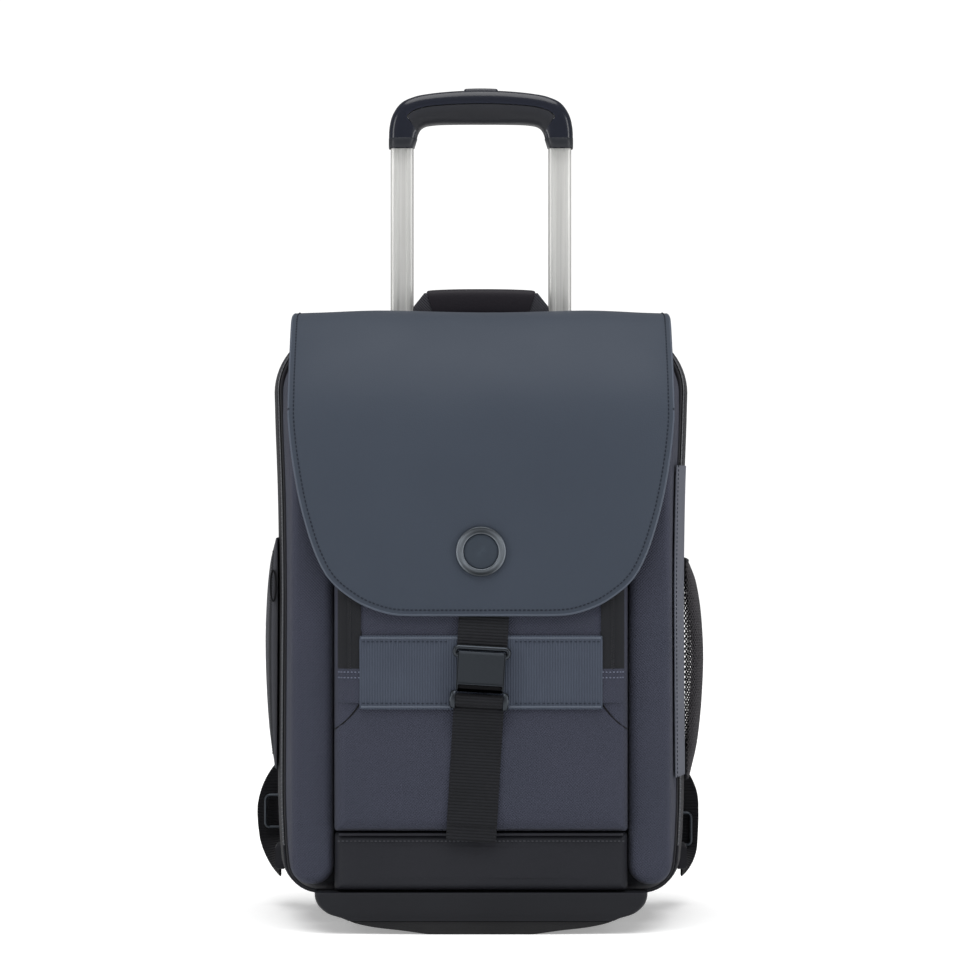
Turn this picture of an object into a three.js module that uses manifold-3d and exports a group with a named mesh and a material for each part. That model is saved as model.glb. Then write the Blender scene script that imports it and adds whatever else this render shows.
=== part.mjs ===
import * as THREE from 'three';
import { mergeVertices } from 'three/addons/utils/BufferGeometryUtils.js';
import Module from 'manifold-3d';

// A wheeled backpack in millimetres. Its front faces -Y, +Z is up, and it stands on z = 0.

const wasm = await Module();
wasm.setup();

// Clearances
const gap = 0.3;
const slideGap = 0.5;

// Main body
const bodyWidth = 336;
const bodyDepth = 156;
const bodyHeight = 468;
const bodyBack = 72;
const bodyRaise = 20;
const bodyWall = 3;
const bodyTopRound = 55;
const bodyBottomRound = 34;
const bodyEdgeRound = 22;
const topLean = 40;
const topLeanHeight = 88;
const frontShellDepth = 32;
const zipBandWidth = 18;
const mouthWidth = 240;
const mouthBack = 42;
const mouthDrop = 18;

// Panels on the front
const pocketWidth = 234;
const pocketDepth = 34;
const pocketHeight = 249;
const pocketWall = 2;
const bottomPanelHeight = 47.7;
const bottomPanelDepth = 27;
const columnWidth = 35.2;
const columnDepth = 22;
const columnHeight = 362;
const columnRaise = 5;
const panelRound = 9;
const bandHeight = 56;
const bandThickness = 3;
const bandRaise = 99.3;
const tapeWidth = 18;
const tapeInset = 3.4;
const tapeThickness = 1;
const tapeDrop = 119;
const tabHeight = 26;

// Flap
const flapWidth = 306;
const flapThickness = 2.5;
const flapRoot = 54;
const flapCornerWidth = 95;
const flapCornerHeight = 145;
const flapHem = 254.5;
const flapSideDrop = 9;
const flapRise = 8;
const flapStandOff = 4.2;

// Badge and closure strap
const badgeRadius = 19.8;
const badgeHole = 13.9;
const badgeThickness = 2.4;
const badgeHeight = 50;
const strapWidth = 38;
const strapThickness = 1.8;
const strapTilt = 3.3;
const strapPivotDrop = 41.5;
const strapUpperDrop = 25;
const ringWire = 3.2;
const ringWidth = 46.6;
const ringHeight = 13;
const plateWidth = 38;
const plateHeight = 29;
const plateThickness = 2.4;
const plateBevel = 0.5;
const plateLap = 2;
const rollWidth = 47;
const rollHeight = 13.6;
const rollDepth = 7;
const rollBevel = 2;
const strapTail = 110;

// Trolley handle
const trolleyY = 85;
const trolleySpacing = 133.6;
const upperTubeWidth = 19.5;
const upperTubeDepth = 13;
const tubeWall = 1;
const upperTubeFoot = 340;
const tubeTop = 655;
const baseBottom = 50;
const baseHeight = 30;
const baseDepth = 20;
const collarHeight = 13;
const collarWall = 4;
const gripWidth = 156;
const gripHeight = 49.2;
const gripDepth = 26;
const gripBar = 29;
const gripLegWidth = 24.6;
const gripTop = 691;
const insertHeight = 6;
const insertDepth = 21;
const buttonWidth = 29.2;
const buttonDepth = 13;
const buttonHeight = 8;
const buttonProud = 1.6;
const buttonTravel = 3;

// Back
const backPanelDepth = 30;
const backPanelWall = 3;
const backPanelInset = 10;
const backPadWidth = 108;
const backPadHeight = 320;
const backPadDepth = 4.7;
const backPadBottom = 112;
const backPadGap = 24;
const shoulderWidth = 62;
const shoulderThickness = 11;
const webWidth = 25;
const webThickness = 1.8;
const sliderWidth = 32;
const sliderHeight = 30;
const sliderThickness = 3;
const sliderBar = 4;
const tabY = 62;
const tabWidth = 28;
const tabLength = 22;
const tabThickness = 7;

// Carry handle
const carryWidth = 92;
const carryPadHeight = 18;
const carryPadDepth = 13;
const carryY = 64;
const carryRise = 24;
const carryWebThickness = 2.6;

// Side pockets and zip
const sidePocketDepth = 80;
const sidePocketWall = 1.8;
const sidePocketSetBack = 16;
const meshPocketBottom = 116;
const meshPocketHeight = 180;
const meshPocketBulge = 16;
const zipPocketBottom = 125;
const zipPocketHeight = 188;
const zipPocketBulge = 11.6;
const zipWidth = 7;
const zipThickness = 1.2;
const stormWidth = 35;
const stormThickness = 1.6;
const stormStand = 4;
const stormLean = 0.26;
const stormLap = 2;
const stormBottom = 122;
const stormHeight = 250;
const pullerLength = 28;
const pullerWidth = 6;
const pullerThickness = 3;

// Foot and wheels
const footWidth = 265;
const footHeight = 33;
const footDepth = 74;
const footFlat = 90;
const footProud = 28;
const footRound = 6;
const wheelRadius = 30;
const wheelWidth = 22;
const wheelY = 75;
const wheelSpacing = 214;
const tyreThickness = 6;
const axleRadius = 3;
const housingWidth = 46;
const housingWall = 3;
const housingRoom = 4;
const housingFoot = 14;

// Heights and planes that follow from the sizes above
const bodyFront = bodyBack - bodyDepth;
const bodyTop = bodyRaise + bodyHeight;
const bodyHalf = bodyWidth / 2;
const bandFrontY = bodyFront + frontShellDepth;
const bandBackY = bandFrontY + zipBandWidth;
const pocketFront = bodyFront - pocketDepth;
const panelBottom = footHeight + gap;
const pocketBottom = panelBottom + bottomPanelHeight + gap;
const pocketTop = pocketBottom + pocketHeight;
const columnInner = pocketWidth / 2 + gap;
const bandWidth = pocketWidth - 2 * (tapeInset + tapeWidth + 2 * gap);
const strapFace = pocketFront - bandThickness - 2 * gap;
const backPanelFront = bodyBack + gap;
const backPanelBack = bodyBack + backPanelDepth;
const tubeX = trolleySpacing / 2;
const lowerTubeWidth = upperTubeWidth + 2 * (tubeWall + slideGap);
const lowerTubeDepth = upperTubeDepth + 2 * (tubeWall + slideGap);
const outerTubeWidth = lowerTubeWidth + 2 * (tubeWall + slideGap);
const outerTubeDepth = lowerTubeDepth + 2 * (tubeWall + slideGap);
const tubeFoot = baseBottom + baseHeight + gap;
const collarBottom = bodyTop - backPanelInset + gap;
const gripBottom = gripTop - gripHeight;

const cloth = (colour) => new THREE.MeshStandardMaterial({ color: colour, roughness: 0.9, metalness: 0 });
const hard = (metalness) => (colour, roughness) => (
  new THREE.MeshStandardMaterial({ color: colour, roughness, metalness }));
const plastic = hard(0);
const metal = hard(1);
const finishes = {
  navyCloth: cloth(0x40444f),
  slateCloth: cloth(0x4a515c),
  flapHide: cloth(0x515a66),
  blackCloth: cloth(0x2c2d32),
  webbing: cloth(0x242529),
  netting: cloth(0x454246),
  padding: cloth(0x303136),
  blackPlastic: plastic(0x2b2c31, 0.4),
  gripPlastic: plastic(0x292c35, 0.25),
  mattePlastic: plastic(0x303237, 0.6),
  rubber: plastic(0x1c1c1e, 0.85),
  steel: metal(0x70757b, 0.35),
  darkSteel: metal(0x34373c, 0.4),
  aluminium: metal(0xcdcdca, 0.35),
};

const vec = (x, y, z) => new THREE.Vector3(x, y, z);
const lerp = THREE.MathUtils.lerp;
const turn = THREE.MathUtils.degToRad;

// A closed geometry with its faces turned outward
function closedGeometry(positions, indices) {
  let volume = 0;
  const corner = (i) => vec(...positions.slice(3 * i, 3 * i + 3));
  for (let i = 0; i < indices.length; i += 3) {
    volume += corner(indices[i]).dot(corner(indices[i + 1]).cross(corner(indices[i + 2])));
  }
  const geometry = new THREE.BufferGeometry();
  geometry.setAttribute('position', new THREE.Float32BufferAttribute(positions, 3));
  geometry.setIndex(volume < 0 ? indices.toReversed() : indices);
  return geometry;
}

function solid(geometry) {
  geometry.deleteAttribute('normal');
  geometry.deleteAttribute('uv');
  const merged = mergeVertices(geometry, 1e-4);
  return new wasm.Manifold(new wasm.Mesh({
    numProp: 3,
    vertProperties: new Float32Array(merged.attributes.position.array),
    triVerts: new Uint32Array(merged.index.array),
  }));
}

// A body skinned through rings of equal count. Point i of a ring pairs with point n - 1 - i across it.
function loft(rings) {
  const count = rings[0].length;
  const positions = rings.flat().flatMap((p) => [p.x, p.y, p.z]);
  const indices = [];
  for (let r = 0; r + 1 < rings.length; r += 1) {
    for (let i = 0; i < count; i += 1) {
      const a = r * count + i;
      const b = r * count + ((i + 1) % count);
      indices.push(a, b, b + count, a, b + count, a + count);
    }
  }
  const last = (rings.length - 1) * count;
  for (let i = 0; i < count / 2 - 1; i += 1) {
    const [a, b, c, d] = [i, i + 1, count - 2 - i, count - 1 - i];
    indices.push(a, c, b, a, d, c);
    indices.push(last + a, last + b, last + c, last + a, last + c, last + d);
  }
  return solid(closedGeometry(positions, indices));
}

// A sheet between an outer and an inner face, each a function of u and v from 0 to 1
function sheet(columns, rows, outer, inner) {
  const positions = [];
  for (const face of [outer, inner]) {
    for (let j = 0; j <= rows; j += 1) {
      for (let i = 0; i <= columns; i += 1) positions.push(...face(i / columns, j / rows).toArray());
    }
  }
  const stride = columns + 1;
  const shift = stride * (rows + 1);
  const indices = [];
  const quad = (a, b, c, d) => indices.push(a, b, c, a, c, d);
  for (let j = 0; j < rows; j += 1) {
    for (let i = 0; i < columns; i += 1) {
      const a = j * stride + i;
      quad(a, a + 1, a + 1 + stride, a + stride);
      quad(a + shift, a + stride + shift, a + 1 + stride + shift, a + 1 + shift);
    }
    const left = j * stride;
    const right = left + columns;
    quad(left, left + stride, left + stride + shift, left + shift);
    quad(right, right + shift, right + stride + shift, right + stride);
  }
  for (let i = 0; i < columns; i += 1) {
    const foot = rows * stride + i;
    quad(i, i + shift, i + 1 + shift, i + 1);
    quad(foot, foot + 1, foot + 1 + shift, foot + shift);
  }
  return solid(closedGeometry(positions, indices));
}

// Cross-sections of flat webbing and of a pad with rounded edges, as shares of half width and thickness
const flatSection = [[-1, -1], [1, -1], [1, 1], [-1, 1]];
const paddedSection = [[-1, -0.3], [-0.9, -1], [0.9, -1], [1, -0.3],
  [1, 0.3], [0.9, 1], [-0.9, 1], [-1, 0.3]];

// A flat ribbon or pad along a route. across gives the direction of its width at share t.
function ribbon(route, steps, across, width, thickness, section = flatSection) {
  const curve = new THREE.CatmullRomCurve3(route);
  const rings = [];
  for (let step = 0; step <= steps; step += 1) {
    const t = step / steps;
    const centre = curve.getPointAt(t);
    const tangent = curve.getTangentAt(t);
    const side = across(t).clone();
    side.addScaledVector(tangent, -side.dot(tangent)).normalize();
    const normal = vec(0, 0, 0).crossVectors(tangent, side);
    rings.push(section.map(([s, n]) => centre.clone()
      .addScaledVector(side, (s * width) / 2).addScaledVector(normal, (n * thickness) / 2)));
  }
  return loft(rings);
}

const block = (x0, x1, y0, y1, z0, z1) => solid(new THREE.BoxGeometry(x1 - x0, y1 - y0, z1 - z0)
  .translate((x0 + x1) / 2, (y0 + y1) / 2, (z0 + z1) / 2));

// A prism of a drawn shape that lies in the XZ plane, from front to back
function prismY(shape, front, back, options = {}) {
  const geometry = new THREE.ExtrudeGeometry(shape, {
    depth: back - front, bevelEnabled: false, ...options,
  });
  return solid(geometry.rotateX(Math.PI / 2).translate(0, back, 0));
}

// A prism of a drawn shape that lies in the YZ plane, from left to right
function prismX(shape, left, right, curveSegments = 10) {
  const axes = new THREE.Matrix4().makeBasis(vec(0, 1, 0), vec(0, 0, 1), vec(1, 0, 0));
  const options = { depth: right - left, bevelEnabled: false, curveSegments };
  const geometry = new THREE.ExtrudeGeometry(shape, options);
  return solid(geometry.applyMatrix4(axes).translate(left, 0, 0));
}

const prismZ = (shape, bottom, top) => solid(new THREE.ExtrudeGeometry(shape, {
  depth: top - bottom, bevelEnabled: false, curveSegments: 1,
}).translate(0, 0, bottom));

function roundedShape(x0, x1, y0, y1, radius) {
  const shape = new THREE.Shape();
  shape.moveTo(x0 + radius, y0);
  shape.lineTo(x1 - radius, y0);
  shape.absarc(x1 - radius, y0 + radius, radius, -Math.PI / 2, 0);
  shape.lineTo(x1, y1 - radius);
  shape.absarc(x1 - radius, y1 - radius, radius, 0, Math.PI / 2);
  shape.lineTo(x0 + radius, y1);
  shape.absarc(x0 + radius, y1 - radius, radius, Math.PI / 2, Math.PI);
  shape.lineTo(x0, y0 + radius);
  shape.absarc(x0 + radius, y0 + radius, radius, Math.PI, Math.PI * 1.5);
  return shape;
}

function arcPoints(x, z, radius, from, to, segments) {
  const points = [];
  for (let i = 0; i <= segments; i += 1) {
    const angle = turn(lerp(from, to, i / segments));
    points.push([x + radius * Math.cos(angle), z + radius * Math.sin(angle)]);
  }
  return points;
}

// Shares of the body's half width at shares of its height: a slight waist between fuller ends
const bodyWaist = [
  { height: 0.072, width: 0.983 },
  { height: 0.15, width: 1 },
  { height: 0.32, width: 0.997 },
  { height: 0.55, width: 0.993 },
  { height: 0.72, width: 1 },
  { height: 0.81, width: 1.011 },
  { height: 0.883, width: 1.017 },
];

function bodyHalfAt(z) {
  const height = (z - bodyRaise) / bodyHeight;
  const next = bodyWaist.findIndex((row) => row.height > height);
  if (next === 0) return bodyHalf * bodyWaist[0].width;
  if (next < 0) return bodyHalf * bodyWaist.at(-1).width;
  const [low, high] = [bodyWaist[next - 1], bodyWaist[next]];
  const share = (height - low.height) / (high.height - low.height);
  return bodyHalf * lerp(low.width, high.width, share);
}

// Right half of the body's outline from the front, bottom to top, pulled in by inset
function bodyRightSide(inset) {
  const low = bodyHalf * bodyWaist[0].width - bodyBottomRound;
  const high = bodyHalf * bodyWaist.at(-1).width - bodyTopRound;
  const sides = bodyWaist.slice(1, -1).map((row) => bodyRaise + row.height * bodyHeight)
    .filter((z) => z > bodyRaise + bodyBottomRound && z < bodyTop - bodyTopRound)
    .map((z) => [bodyHalfAt(z) - inset, z]);
  return [
    ...arcPoints(low, bodyRaise + bodyBottomRound, bodyBottomRound - inset, -90, 0, 5),
    ...sides,
    ...arcPoints(high, bodyTop - bodyTopRound, bodyTopRound - inset, 0, 90, 7),
  ];
}

// How far the front of the bag leans back at height z
function leanAt(z) {
  const share = Math.max(0, (z - (bodyTop - topLeanHeight)) / topLeanHeight);
  return topLean * share * share;
}

function bodyRing(inset, depth, wall = 0) {
  const right = bodyRightSide(inset + wall);
  const outline = [...right, ...right.toReversed().map(([x, z]) => [-x, z])];
  return outline.map(([x, z]) => {
    const front = bodyFront + leanAt(z) + wall;
    return vec(x, lerp(front, bodyBack - wall, depth), z);
  });
}

// Sections of the body from front to back: depth as a share, inset as a share of the edge round
const bodySections = [
  { depth: 0, inset: 0.84 },
  { depth: 0.035, inset: 0.68 },
  { depth: 0.1, inset: 0.57 },
  { depth: 0.2, inset: 0.44 },
  { depth: 0.3, inset: 0.3 },
  { depth: 0.4, inset: 0.15 },
  { depth: 0.5, inset: 0.05 },
  { depth: 0.59, inset: 0 },
  { depth: 0.94, inset: 0 },
  { depth: 0.98, inset: 0.16 },
  { depth: 1, inset: 0.4 },
];

const bodyLoft = (wall) => loft(
  bodySections.map((row) => bodyRing(row.inset * bodyEdgeRound, row.depth, wall)));

const mouthFloor = bodyTop - mouthDrop;
const farAway = 1000;
const slab = (front, back) => block(-farAway, farAway, front, back, -farAway, farAway);

function housingEnvelope(side, clear) {
  const x = (side * wheelSpacing) / 2;
  const radius = wheelRadius + housingRoom + housingWall + clear;
  const floor = housingFoot - clear;
  const disc = new THREE.Shape();
  disc.absarc(wheelY, wheelRadius, radius, 0, Math.PI * 2);
  return prismX(disc, x - housingWidth / 2 - clear, x + housingWidth / 2 + clear)
    .subtract(block(-farAway, farAway, -farAway, farAway, -farAway, floor));
}

// The hollow main compartment, open at the top under the flap
function hollowBody() {
  const front = bodyFront + leanAt(mouthFloor) - bodyWall;
  return bodyLoft(0).subtract(bodyLoft(bodyWall))
    .subtract(block(-mouthWidth / 2, mouthWidth / 2, front, mouthBack, mouthFloor, farAway))
    .subtract(housingEnvelope(-1, gap)).subtract(housingEnvelope(1, gap));
}

const body = hollowBody();
const frontShell = () => body.intersect(slab(-farAway, bandFrontY - gap / 2));
const rearShell = () => body.intersect(slab(bandBackY + gap / 2, farAway));

const zipBand = () => body.intersect(slab(bandFrontY + gap / 2, bandBackY - gap / 2));

// The two sections of the body before and after the plane at y
function sectionsAround(y) {
  const depth = (y - bodyFront) / bodyDepth;
  const after = bodySections.findIndex((row) => row.depth >= depth);
  return { a: bodySections[after - 1], b: bodySections[after], depth };
}

// How far the body's side is pulled in at y
function bodyPullAt(y) {
  const { a, b, depth } = sectionsAround(y);
  return lerp(a.inset, b.inset, (depth - a.depth) / (b.depth - a.depth)) * bodyEdgeRound;
}

// A strip that follows the body's outline a little way off it, between two heights
function outlineStrip(front, back, bottom, top, thickness, sides) {
  const middle = (front + back) / 2;
  const { a, b } = sectionsAround(middle);
  const pull = bodyPullAt(middle);
  const slope = ((a.inset - b.inset) * bodyEdgeRound) / ((b.depth - a.depth) * bodyDepth);
  const stand = gap + (slope * (back - front)) / 2 + 0.5;
  const near = bodyRightSide(pull - stand).filter(([, z]) => z >= bottom && z <= top);
  const far = bodyRightSide(pull - stand - thickness).filter(([, z]) => z >= bottom && z <= top);
  const rings = near.map(([x, z], i) => [
    vec(x, front, z), vec(far[i][0], front, far[i][1]), vec(far[i][0], back, far[i][1]), vec(x, back, z)]);
  if (sides === 'right') return loft(rings);
  const mirrored = rings.toReversed().map((ring) => ring.map((p) => vec(-p.x, p.y, p.z)));
  return loft([...rings, ...mirrored]);
}

// Zip coil up one side of the gusset, over the shoulders and down the other
function zipChain() {
  const middle = (bandFrontY + bandBackY) / 2;
  return outlineStrip(middle - zipWidth / 2, middle + zipWidth / 2, bodyRaise + bodyBottomRound,
    farAway, zipThickness, 'both');
}

// Cloth strip that covers the middle of the right-hand zip
function stormFlap() {
  const front = (bandFrontY + bandBackY) / 2 + zipWidth / 2 + stormLap - stormWidth;
  const pull = bodyPullAt(front + stormWidth / 2) - stormStand;
  const route = [0, 0.33, 0.66, 1].map((t) => stormBottom + t * stormHeight)
    .map((z) => vec(bodyHalfAt(z) - pull, front + stormWidth / 2, z));
  return ribbon(route, 4, () => vec(stormLean, 1, 0), stormWidth, stormThickness);
}

// Outline of a panel with its own radius at each corner: lower right, upper right, upper left, lower left
function panelOutline({ x0, x1, z0, z1 }, radii, inset) {
  const [lowerRight, upperRight, upperLeft, lowerLeft] = radii.map((radius) => Math.max(radius - inset, 0.5));
  const [left, right, low, high] = [x0 + inset, x1 - inset, z0 + inset, z1 - inset];
  const steps = 4;
  return [
    ...arcPoints(right - lowerRight, low + lowerRight, lowerRight, -90, 0, steps),
    ...arcPoints(right - upperRight, high - upperRight, upperRight, 0, 90, steps),
    ...arcPoints(left + upperLeft, high - upperLeft, upperLeft, 90, 180, steps),
    ...arcPoints(left + lowerLeft, low + lowerLeft, lowerLeft, 180, 270, steps),
  ];
}

// Sections of a sewn pad from its back to its crown: rise as a share of its depth, inset of its edge round
const padSections = [
  { rise: 0, inset: 0 },
  { rise: 0.5, inset: 0 },
  { rise: 0.8, inset: 0.3 },
  { rise: 0.95, inset: 0.85 },
  { rise: 1, inset: 1.9 },
];

// A pad against a plane y = back that swells towards -Y, or towards +Y where depth is negative
function pad(edges, radii, back, depth, round = panelRound) {
  return loft(padSections.map((row) => panelOutline(edges, radii, row.inset * round)
    .map(([x, z]) => vec(x, back - depth * row.rise, z))));
}

function sideColumn(side) {
  const z0 = panelBottom + columnRaise;
  const inner = columnInner;
  const outer = columnInner + columnWidth;
  const edges = side > 0 ? { x0: inner, x1: outer, z0, z1: z0 + columnHeight }
    : { x0: -outer, x1: -inner, z0, z1: z0 + columnHeight };
  const big = columnWidth * 0.62;
  const small = columnWidth * 0.2;
  const radii = side > 0 ? [big, small, small, small] : [small, small, small, big];
  return pad(edges, radii, bodyFront - gap, columnDepth);
}

function bottomPanel() {
  const x = pocketWidth / 2;
  const edges = { x0: -x, x1: x, z0: panelBottom, z1: panelBottom + bottomPanelHeight };
  return pad(edges, [4, 4, 4, 4], bodyFront - gap, bottomPanelDepth, bottomPanelHeight / 8);
}

// A pouch on the front, hollow and open at the top under the flap
function frontPocket() {
  const x = pocketWidth / 2;
  const edges = { x0: -x, x1: x, z0: pocketBottom, z1: pocketTop };
  const room = x - pocketWall;
  const inner = { x0: -room, x1: room, z0: pocketBottom + pocketWall, z1: pocketTop + farAway };
  const round = [3, 3, 3, 3];
  const back = bodyFront - gap;
  const depth = pocketDepth - gap;
  return pad(edges, round, back, depth)
    .subtract(pad(inner, round, back - pocketWall, depth - 2 * pocketWall));
}

function pocketBand() {
  const bottom = pocketBottom + bandRaise;
  const shape = roundedShape(-bandWidth / 2, bandWidth / 2, bottom, bottom + bandHeight, 2);
  return prismY(shape, pocketFront - gap - bandThickness, pocketFront - gap, { curveSegments: 2 });
}

// Depth of the pocket's rounded edge at x, measured back from its flat front
function pocketEdgeDrop(x) {
  const inset = (pocketWidth / 2 - Math.abs(x)) / panelRound;
  if (inset >= padSections[4].inset) return 0;
  const next = padSections.findIndex((row) => row.inset > inset);
  const [low, high] = [padSections[next - 1], padSections[next]];
  const rise = lerp(low.rise, high.rise, (inset - low.inset) / (high.inset - low.inset));
  return (1 - rise) * (pocketDepth - gap);
}

const tapeInner = bandWidth / 2 + 2 * gap;
const tapeOuter = tapeInner + tapeWidth;
const tapeBottom = pocketTop - tapeDrop;
const tapeTop = pocketTop - 2 * panelRound;

// A strip laid over the pocket's rounded edge, with a fold line at each line of that edge
function edgeStrip(side, inner, outer, bottom, top) {
  const folds = padSections.map((row) => pocketWidth / 2 - row.inset * panelRound)
    .filter((x) => x > inner && x < outer);
  const lines = [inner, ...folds.sort((a, b) => a - b), outer];
  const face = (offset) => (u, v) => {
    const x = lines[Math.round(u * (lines.length - 1))];
    return vec(side * x, pocketFront + pocketEdgeDrop(x) - gap - offset, lerp(bottom, top, v));
  };
  return sheet(lines.length - 1, 2, face(tapeThickness), face(0));
}

const zipTape = (side) => edgeStrip(side, tapeInner, tapeOuter, tapeBottom, tapeTop);
const tabTop = tapeBottom - gap;
const pocketTab = (side) => edgeStrip(side, tapeInner, tapeOuter, tabTop - tabHeight, tabTop);

// Flap profile in the plane x = 0, from the root over the ridge to the hem
function flapProfile() {
  const face = pocketFront - flapStandOff;
  const rootTop = bodyTop + gap + flapThickness;
  const ridge = bodyTop + flapThickness + flapRise;
  const lean = (share) => lerp(face, bodyFront + topLean, share);
  const hemRise = bodyTop - flapHem;
  return new THREE.CatmullRomCurve3([
    vec(0, flapRoot, rootTop),
    vec(0, flapRoot * 0.5, ridge - flapRise * 0.25),
    vec(0, -flapRoot * 0.05, ridge),
    vec(0, lean(0.96), ridge - flapRise * 0.45),
    vec(0, lean(0.55), bodyTop - hemRise * 0.075),
    vec(0, lean(0.2), bodyTop - hemRise * 0.24),
    vec(0, lean(0.045), bodyTop - hemRise * 0.44),
    vec(0, face, bodyTop - hemRise * 0.65),
    vec(0, face - 1.6, bodyTop - hemRise * 0.85),
    vec(0, face - 1.8, flapHem),
  ], false, 'chordal');
}

const flapCurve = flapProfile();
flapCurve.arcLengthDivisions = 400;

// Share of the profile where it comes down to height z on the front
function flapShareAt(z) {
  let [low, high] = [0.3, 1];
  for (let i = 0; i < 30; i += 1) {
    const middle = (low + high) / 2;
    if (flapCurve.getPointAt(middle).z > z) low = middle;
    else high = middle;
  }
  return high;
}

// Height of the hem at x: straight in the middle, with elliptical lower corners
function flapHemAt(x) {
  const inCorner = (Math.abs(x) - (flapWidth / 2 + 2 - flapCornerWidth)) / flapCornerWidth;
  const rise = inCorner > 0 ? 1 - Math.sqrt(Math.max(0, 1 - inCorner * inCorner)) : 0;
  return flapHem + flapCornerHeight * rise;
}

function flapPoint(u, v, depth) {
  const across = Math.sin((u - 0.5) * Math.PI);
  const half = flapWidth / 2;
  const end = flapShareAt(flapHemAt(across * half));
  const share = v * end;
  const centre = flapCurve.getPointAt(share);
  const tangent = flapCurve.getTangentAt(share);
  const inward = vec(0, -tangent.z, tangent.y);
  const drop = flapSideDrop * Math.abs(across) ** 6 * Math.min(1, share * 3.5);
  const narrow = 1 - 0.025 * Math.max(0, 1 - share * 4);
  return centre.addScaledVector(inward, drop + depth).setX(across * half * narrow);
}

const flap = () => sheet(14, 14, (u, v) => flapPoint(u, v, 0), (u, v) => flapPoint(u, v, flapThickness));

const flapFaceAt = (z) => flapCurve.getPointAt(flapShareAt(z)).y;

function ringOf(outer, inner, thickness) {
  const profile = [[inner, 0], [outer, 0], [outer, thickness - 1], [outer - 1, thickness],
    [inner + 1, thickness], [inner, thickness - 1], [inner, 0]];
  const points = profile.map(([radius, height]) => new THREE.Vector2(radius, height));
  return solid(new THREE.LatheGeometry(points, 24).rotateX(Math.PI));
}

const disc = (radius, thickness) => solid(new THREE.CylinderGeometry(radius, radius, thickness, 24));

// Closure strap parts, modelled upright about the strap's own middle line
const strapPivot = flapHem - strapPivotDrop;
const ringCentre = flapHem - strapUpperDrop - ringHeight / 2 - gap;
const plateTop = flapHem - strapUpperDrop - plateLap;
const rollTop = plateTop - plateHeight - gap;

function upperStrap() {
  const y = strapFace - strapThickness / 2;
  const under = pocketFront - 2 * gap - strapThickness / 2;
  const bandTop = pocketBottom + bandRaise + bandHeight;
  const route = [vec(0, under, flapHem + 22), vec(0, under, flapHem - 1), vec(0, y, bandTop + 3),
    vec(0, y, flapHem - strapUpperDrop)];
  return ribbon(route, 8, () => vec(1, 0, 0), strapWidth, strapThickness);
}

function closureRing() {
  const shape = roundedShape(-ringWidth / 2, ringWidth / 2, -ringHeight / 2, ringHeight / 2, 3);
  shape.holes.push(roundedShape(ringWire - ringWidth / 2, ringWidth / 2 - ringWire,
    ringWire - ringHeight / 2, ringHeight / 2 - ringWire, 1));
  return prismY(shape, 0, ringWire, { curveSegments: 1 });
}

function bucklePlate() {
  const shape = roundedShape(-plateWidth / 2, plateWidth / 2, -plateHeight / 2, plateHeight / 2, 1.5);
  return prismY(shape, 0, plateThickness - 2 * plateBevel, {
    bevelEnabled: true, bevelThickness: plateBevel, bevelSize: plateBevel, bevelOffset: -plateBevel,
    bevelSegments: 1, curveSegments: 2,
  });
}

// The webbing's roll over the slide bar, with rounded ears
function buckleRoll() {
  const ears = rollHeight * 0.42;
  const shape = roundedShape(-rollWidth / 2, rollWidth / 2, -rollHeight / 2, rollHeight / 2, ears);
  const round = rollBevel * 1.1;
  return prismY(shape, 0, rollDepth - 2 * rollBevel, {
    bevelEnabled: true, bevelThickness: rollBevel, bevelSize: round, bevelOffset: -round,
    bevelSegments: 1, curveSegments: 2,
  });
}

function lowerStrap() {
  const proud = strapFace - strapThickness / 2;
  const y = pocketFront - 2 * gap - strapThickness / 2;
  const top = rollTop - rollHeight - gap;
  const foot = top - strapTail;
  const bandBottom = pocketBottom + bandRaise;
  const route = [vec(0, proud, top), vec(0, proud, bandBottom - 6), vec(0, y, bandBottom - 24),
    vec(0, y, lerp(top, foot, 0.6)), vec(0, y, pocketBottom + panelRound), vec(0, y + 1, foot)];
  return ribbon(route, 14, () => vec(1, 0, 0), strapWidth, strapThickness);
}

// Trolley
function tubeShape(width, depth, wall) {
  const shape = roundedShape(-width / 2, width / 2, -depth / 2, depth / 2, depth * 0.3);
  shape.holes.push(roundedShape(wall - width / 2, width / 2 - wall, wall - depth / 2, depth / 2 - wall,
    depth * 0.3 - wall));
  return shape;
}

const upperTube = () => prismZ(tubeShape(upperTubeWidth, upperTubeDepth, tubeWall), upperTubeFoot, tubeTop);
const lowerTube = () => prismZ(tubeShape(lowerTubeWidth, lowerTubeDepth, tubeWall), tubeFoot,
  collarBottom + collarHeight - 1);
const outerTube = () => prismZ(tubeShape(outerTubeWidth, outerTubeDepth, tubeWall), tubeFoot,
  collarBottom - gap);

function tubeCollar() {
  const hole = [lowerTubeWidth + 2 * slideGap, lowerTubeDepth + 2 * slideGap];
  const shape = roundedShape(-hole[0] / 2 - collarWall, hole[0] / 2 + collarWall,
    -hole[1] / 2 - collarWall, hole[1] / 2 + collarWall, 4);
  shape.holes.push(roundedShape(-hole[0] / 2, hole[0] / 2, -hole[1] / 2, hole[1] / 2, hole[1] * 0.3));
  return prismZ(shape, collarBottom, collarBottom + collarHeight);
}

function trolleyBase() {
  const half = wheelSpacing / 2 - housingWidth / 2 - gap;
  return block(-half, half, trolleyY - baseDepth / 2, trolleyY + baseDepth / 2,
    baseBottom, baseBottom + baseHeight);
}

// Half outline of the grip, as shares of its half width and of its height from the foot of the legs
const gripProfile = [
  { across: 1, up: 0 },
  { across: 0.995, up: 0.36 },
  { across: 0.955, up: 0.58 },
  { across: 0.865, up: 0.78 },
  { across: 0.6, up: 0.915 },
  { across: 0.3, up: 0.985 },
  { across: 0, up: 1 },
];

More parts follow.
